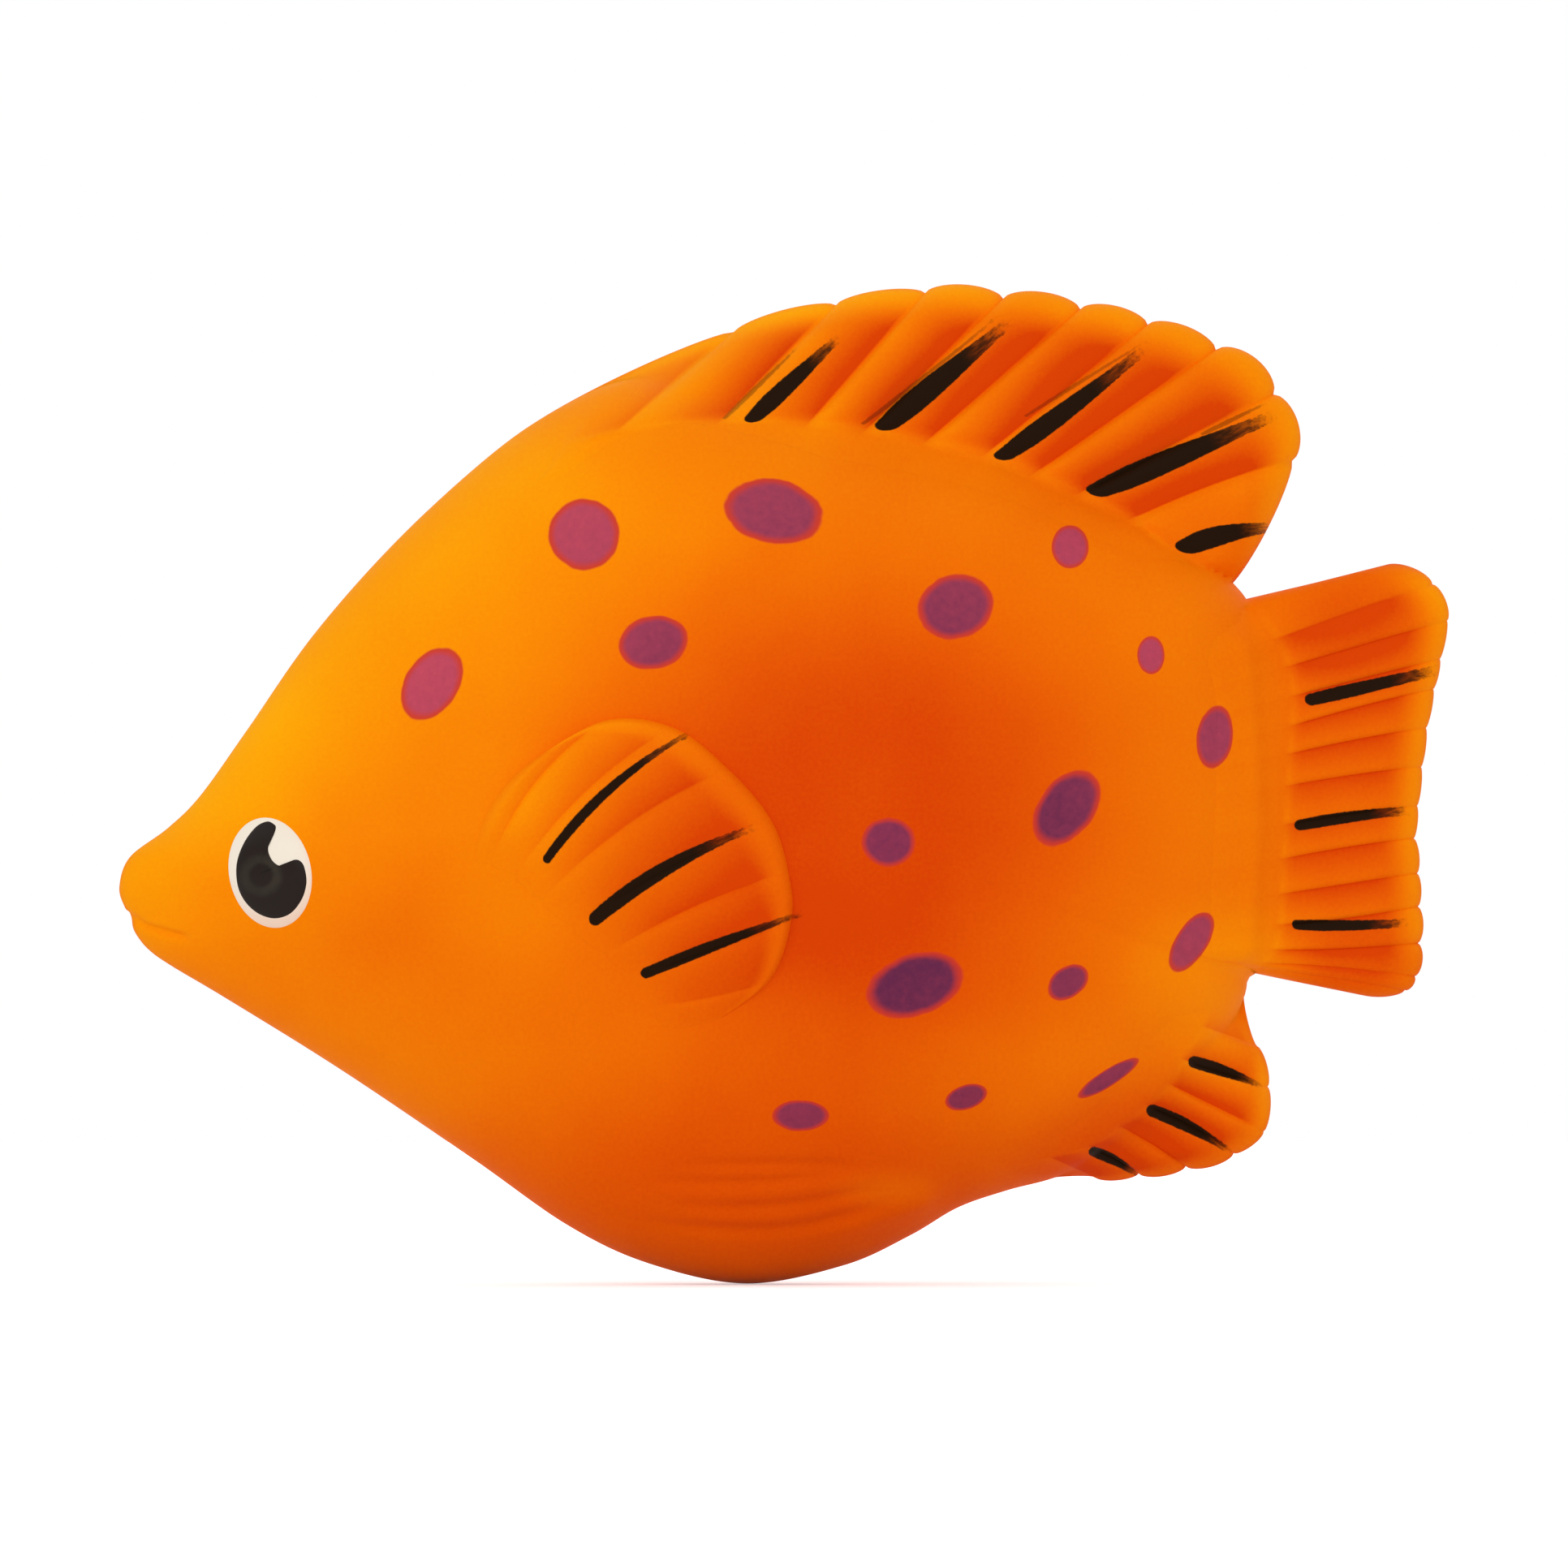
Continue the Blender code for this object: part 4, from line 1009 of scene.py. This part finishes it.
# %% Paint the foam
FLANK_SPOTS = [
    ((721, 660), (88, 88), 0, 0.1), ((806, 793), (86, 66), 12, 0.0), ((534, 843), (66, 98), -32, 0.2),
    ((1176, 749), (94, 80), 15, 0.0), ((1416, 808), (34, 47), 0, 0.3), ((1312, 995), (68, 106), -38, -0.1),
    ((1094, 1037), (66, 60), 0, 0.15), ((1126, 1212), (122, 76), 18, -0.1),
    ((1314, 1209), (56, 38), 35, -0.1), ((986, 1372), (70, 38), 0, 0.1), ((1189, 1350), (54, 30), 18, -0.1),
]
BACK_SPOTS = [((953, 632), (122, 80), -10, -0.05), ((1317, 675), (46, 54), 0, 0.3)]
TAIL_SPOTS = [((1495, 908), (45, 78), -8, 0.05), ((1466, 1160), (40, 84), -33, 0.0)]
UNDER_SPOTS = [((1364, 1327), (90, 21), 32, -0.1)]
BACK_STROKES = [
    ((922, 522), (1032, 418), 22, 0), ((1084, 531), (1238, 402), 29, 0), ((1229, 567), (1406, 434), 25, -2),
    ((1342, 609), (1566, 514), 29, 0), ((1450, 678), (1566, 650), 26, 5),
    ((892, 518), (982, 430), 6, 0), ((1062, 524), (1228, 391), 6, -2), ((1262, 514), (1412, 421), 5, 0),
    ((1480, 536), (1558, 498), 6, 0),
]
TAIL_STROKES = [
    ((1607, 864), (1766, 827), 17, 0), ((1594, 1018), (1732, 999), 15, 2),
    ((1591, 1139), (1730, 1137), 14, -2),
]
UNDER_STROKES = [
    ((1463, 1306), (1552, 1337), 16, 2), ((1412, 1365), (1514, 1418), 17, 4),
    ((1341, 1416), (1402, 1448), 14, 3),
]
SIDE_STROKES = [
    ((673, 1062), (858, 900), 13, 15), ((729, 1136), (926, 1021), 20, 11), ((791, 1200), (986, 1125), 15, 2),
]

body_spots = FLANK_SPOTS + BACK_SPOTS + TAIL_SPOTS + UNDER_SPOTS
body_paint = painted_foam("body_paint", body_spots, SIDE_STROKES[2:])
side_fin_paint = painted_foam("side_fin_paint", [], SIDE_STROKES, rays=(0.20, 0.26))
back_fin_paint = painted_foam(
    "back_fin_paint", BACK_SPOTS, BACK_STROKES, tip=0.22, slant=0.7, rays=(0.58, 0.34))
tail_paint = painted_foam("tail_paint", TAIL_SPOTS, TAIL_STROKES, tip=0.36, rays=(0.26, 0.40))
under_fin_paint = painted_foam("under_fin_paint", UNDER_SPOTS + TAIL_SPOTS, UNDER_STROKES, rays=(0.42, 0.26))

# %% [markdown]
# ## Eye paints
# Eye white and pupil are thicker, glossier paints. The white is warm, and pinker and darker towards its lower
# right rim: a pink tinge with painted shade under the raised eye. The black shows a faint grey ring.

# %% Paint the eyes
EYE_SPECULAR = 0.12


def eye_material(name, build, roughness):
    """Glossy paint whose colour comes from build, with a slightly uneven film."""
    material = bpy.data.materials.new(name)
    material.use_nodes = True
    p = PaintNodes(material.node_tree)
    shader = material.node_tree.nodes["Principled BSDF"]
    place, flat, parts = flat_place(p)
    p.feed(shader.inputs["Base Color"], build(p, place, flat))
    p.feed(shader.inputs["Roughness"], p.math("MULTIPLY_ADD", p.noise(place, 0.9), 0.12, roughness))
    patchy = p.noise(place, 0.8, 3.0)
    bump = p.add("ShaderNodeBump", {"Height": patchy, "Strength": 0.2, "Distance": FILM_BUMP})
    p.feed(shader.inputs["Normal"], bump.outputs["Normal"])
    shader.inputs["Specular IOR Level"].default_value = EYE_SPECULAR
    return material


def eye_white_colour(p, place, flat):
    """Warm white that is pinker and darker towards the rim at the lower right: a pink tinge with painted
    shade.
    """
    away = p.vector("SUBTRACT", flat, in_millimetres((322, 1050)))
    lower = p.ease(p.vector("LENGTH", away), 2.6, 6.2)
    return p.mix(p.math("ADD", lower, p.math("MULTIPLY_ADD", p.noise(place, 0.8), 0.2, -0.1)),
                 paint_colour(242, 231, 214), paint_colour(240, 212, 190))


def pupil_colour(p, place, flat):
    """Near black with a faint grey ring: a narrow hump of shade at one distance from its middle."""
    away = p.vector("LENGTH", p.vector("SUBTRACT", flat, in_millimetres((324, 1078))))
    ring = p.math("MULTIPLY", p.ease(away, 0.7, 1.1), p.ease(away, 1.2, 1.9, 1.0, 0.0))
    patchy = p.math("MULTIPLY", ring, p.noise(place, 0.6))
    return p.mix(patchy, paint_colour(30, 20, 15), paint_colour(56, 50, 40))


eye_white = eye_material("eye_white_paint", eye_white_colour, 0.34)
pupil_black = eye_material("pupil_black_paint", pupil_colour, 0.30)
print("eye paints:", eye_white.name, pupil_black.name)

# %% [markdown]
# ## Painting the pieces
# Each piece now takes its paint, and the imported nodes that it stands for are hidden. Its transform is baked
# into its mesh, and nothing here ties it to the joints.

# %% Paint and hide the imported parts
JOINTS = {joint["name"]: joint for joint in frame["joints"]}


def dress(piece, material, slot, *nodes):
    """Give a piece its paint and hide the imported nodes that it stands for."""
    piece.data.materials.append(material)
    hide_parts(*nodes)


def press_with_flank(piece):
    """Bake the piece's transform into its mesh; it is not moved with the flank."""
    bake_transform(piece)


def bend_at_root(piece, node, joint):
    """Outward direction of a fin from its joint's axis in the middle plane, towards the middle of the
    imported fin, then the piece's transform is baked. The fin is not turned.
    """
    hinge = JOINTS[joint]
    axis, root = np.array(hinge["axis"], float), np.array(hinge["pos_m"], float)
    out = np.cross(axis / np.linalg.norm(axis), (0.0, 1.0, 0.0))
    middle = np.mean(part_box(node), axis=0)
    out *= np.sign(np.dot(out, middle - root))
    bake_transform(piece)


dress(left_skin, body_paint, "body_skin", "body_rim", "left_flank", "left_pelvic_fin")
dress(right_skin, body_paint, "body_skin", "foam_core", "right_flank", "right_pelvic_fin")
dress(left_side_fin, side_fin_paint, "fin_skin", "left_pectoral_fin")
dress(right_side_fin, side_fin_paint, "fin_skin", "right_pectoral_fin")
dress(back_fin, back_fin_paint, "fin_skin", "dorsal_fin")
dress(tail_fan, tail_paint, "fin_skin", "tail_fin")
dress(under_fin, under_fin_paint, "fin_skin", "anal_fin")
for side, word in ((-1, "left"), (1, "right")):
    dress(eyes[side], eye_white, "eye_paint", word + "_eye")
    dress(pupils[side], pupil_black, "pupil_paint", word + "_pupil")
    for piece in (eyes[side], pupils[side]):
        press_with_flank(piece)
for piece, side in ((left_skin, -1), (right_skin, 1), (left_side_fin, -1), (right_side_fin, 1)):
    press_with_flank(piece)
bend_at_root(back_fin, "dorsal_fin", "dorsal_bend")
bend_at_root(tail_fan, "tail_fin", "tail_bend")
bend_at_root(under_fin, "anal_fin", "anal_bend")
print("pieces fitted:", 7 + len(eyes) + len(pupils))

# %% [markdown]
# ## Floor, light and camera
# The toy stands on a pale floor under broad soft light from the upper left, as in a product picture. The
# camera is far away with a long lens, so both ends of the toy are seen from the side alike. The background
# is white for the camera only, and the lamps stay at a plain level.

# %% Floor
FLOOR_RINGS_AT = np.array([0.0, 0.3, 0.95])
FLOOR_COLUMNS = 96
FLOOR_DROP = 0.05 * MM
FLOOR_GLOW = 0.45
round_floor = np.linspace(0.0, 2 * pi, FLOOR_COLUMNS, endpoint=False)[:, None]
floor_x, floor_y = FLOOR_RINGS_AT * np.cos(round_floor), FLOOR_RINGS_AT * np.sin(round_floor)
floor_grid = np.stack([floor_x, floor_y, np.full_like(floor_x, -FLOOR_DROP)], axis=-1)
floor = surface("pale_floor", floor_grid, {}, loop_columns=True)
floor_paint = bpy.data.materials.new("pale_floor_paint")
floor_paint.use_nodes = True
p = PaintNodes(floor_paint.node_tree)
floor_shader = floor_paint.node_tree.nodes["Principled BSDF"]
floor_shader.inputs["Roughness"].default_value = 0.9
speck = p.noise(p.add("ShaderNodeTexCoord").outputs["Object"], 90.0, 3.0)
p.feed(floor_shader.inputs["Base Color"], p.mix(speck, (0.90, 0.90, 0.90, 1.0), (0.93, 0.93, 0.93, 1.0)))
glow = p.add("ShaderNodeEmission", {"Strength": p.math("MULTIPLY", seen_directly(p), FLOOR_GLOW)})
both = p.add("ShaderNodeAddShader", {0: floor_shader.outputs[0], 1: glow.outputs[0]})
p.feed(floor_paint.node_tree.nodes["Material Output"].inputs["Surface"], both.outputs[0])
floor.data.materials.append(floor_paint)

# %% Light
SKY_LIGHT = 0.83
LAMPS = [
    ("key_box", (-0.45, -1.15, 0.65), 0.9, 2.6), ("front_box", (0.2, -1.5, 0.12), 1.1, 2.7),
    ("back_box", (0.4, 1.1, 0.8), 0.8, 1.8),
]
scene = bpy.context.scene
scene.view_settings.view_transform = "Standard"
world = bpy.data.worlds.new("studio")
scene.world = world
world.use_nodes = True
w = PaintNodes(world.node_tree)
sky = world.node_tree.nodes["Background"]
sky.inputs["Color"].default_value = (1.0, 1.0, 1.0, 1.0)
w.feed(sky.inputs["Strength"], w.math("MULTIPLY_ADD", seen_directly(w), 1.0 - SKY_LIGHT, SKY_LIGHT))


def soft_lamp(name, place, aim, size, power):
    """Square soft box at place that faces aim."""
    lamp = bpy.data.lights.new(name, "AREA")
    lamp.size = size
    lamp.energy = power
    holder = bpy.data.objects.new(name, lamp)
    scene.collection.objects.link(holder)
    holder.location = place
    away = holder.location - aim
    holder.rotation_euler = away.to_track_quat("Z", "Y").to_euler()


for name, place, size, power in LAMPS:
    soft_lamp(name, place, (cad_low + cad_high) / 2, size, power)

# %% Camera
CAMERA_FAR = 2.4
SENSOR = 36.0
camera_data = bpy.data.cameras.new("photo_camera")
camera = bpy.data.objects.new("photo_camera", camera_data)
scene.collection.objects.link(camera)
picture = from_photo((PHOTO_SIDE / 2, PHOTO_SIDE / 2))
camera.location = (picture[0], -CAMERA_FAR, picture[1])
camera.rotation_euler = (pi / 2, 0.0, 0.0)
camera_data.sensor_width = SENSOR
camera_data.lens = SENSOR * CAMERA_FAR / (PHOTO_SIDE * PIXEL)
camera_data.clip_end = 20.0
scene.camera = camera
print("lens in mm:", round(camera_data.lens, 1))
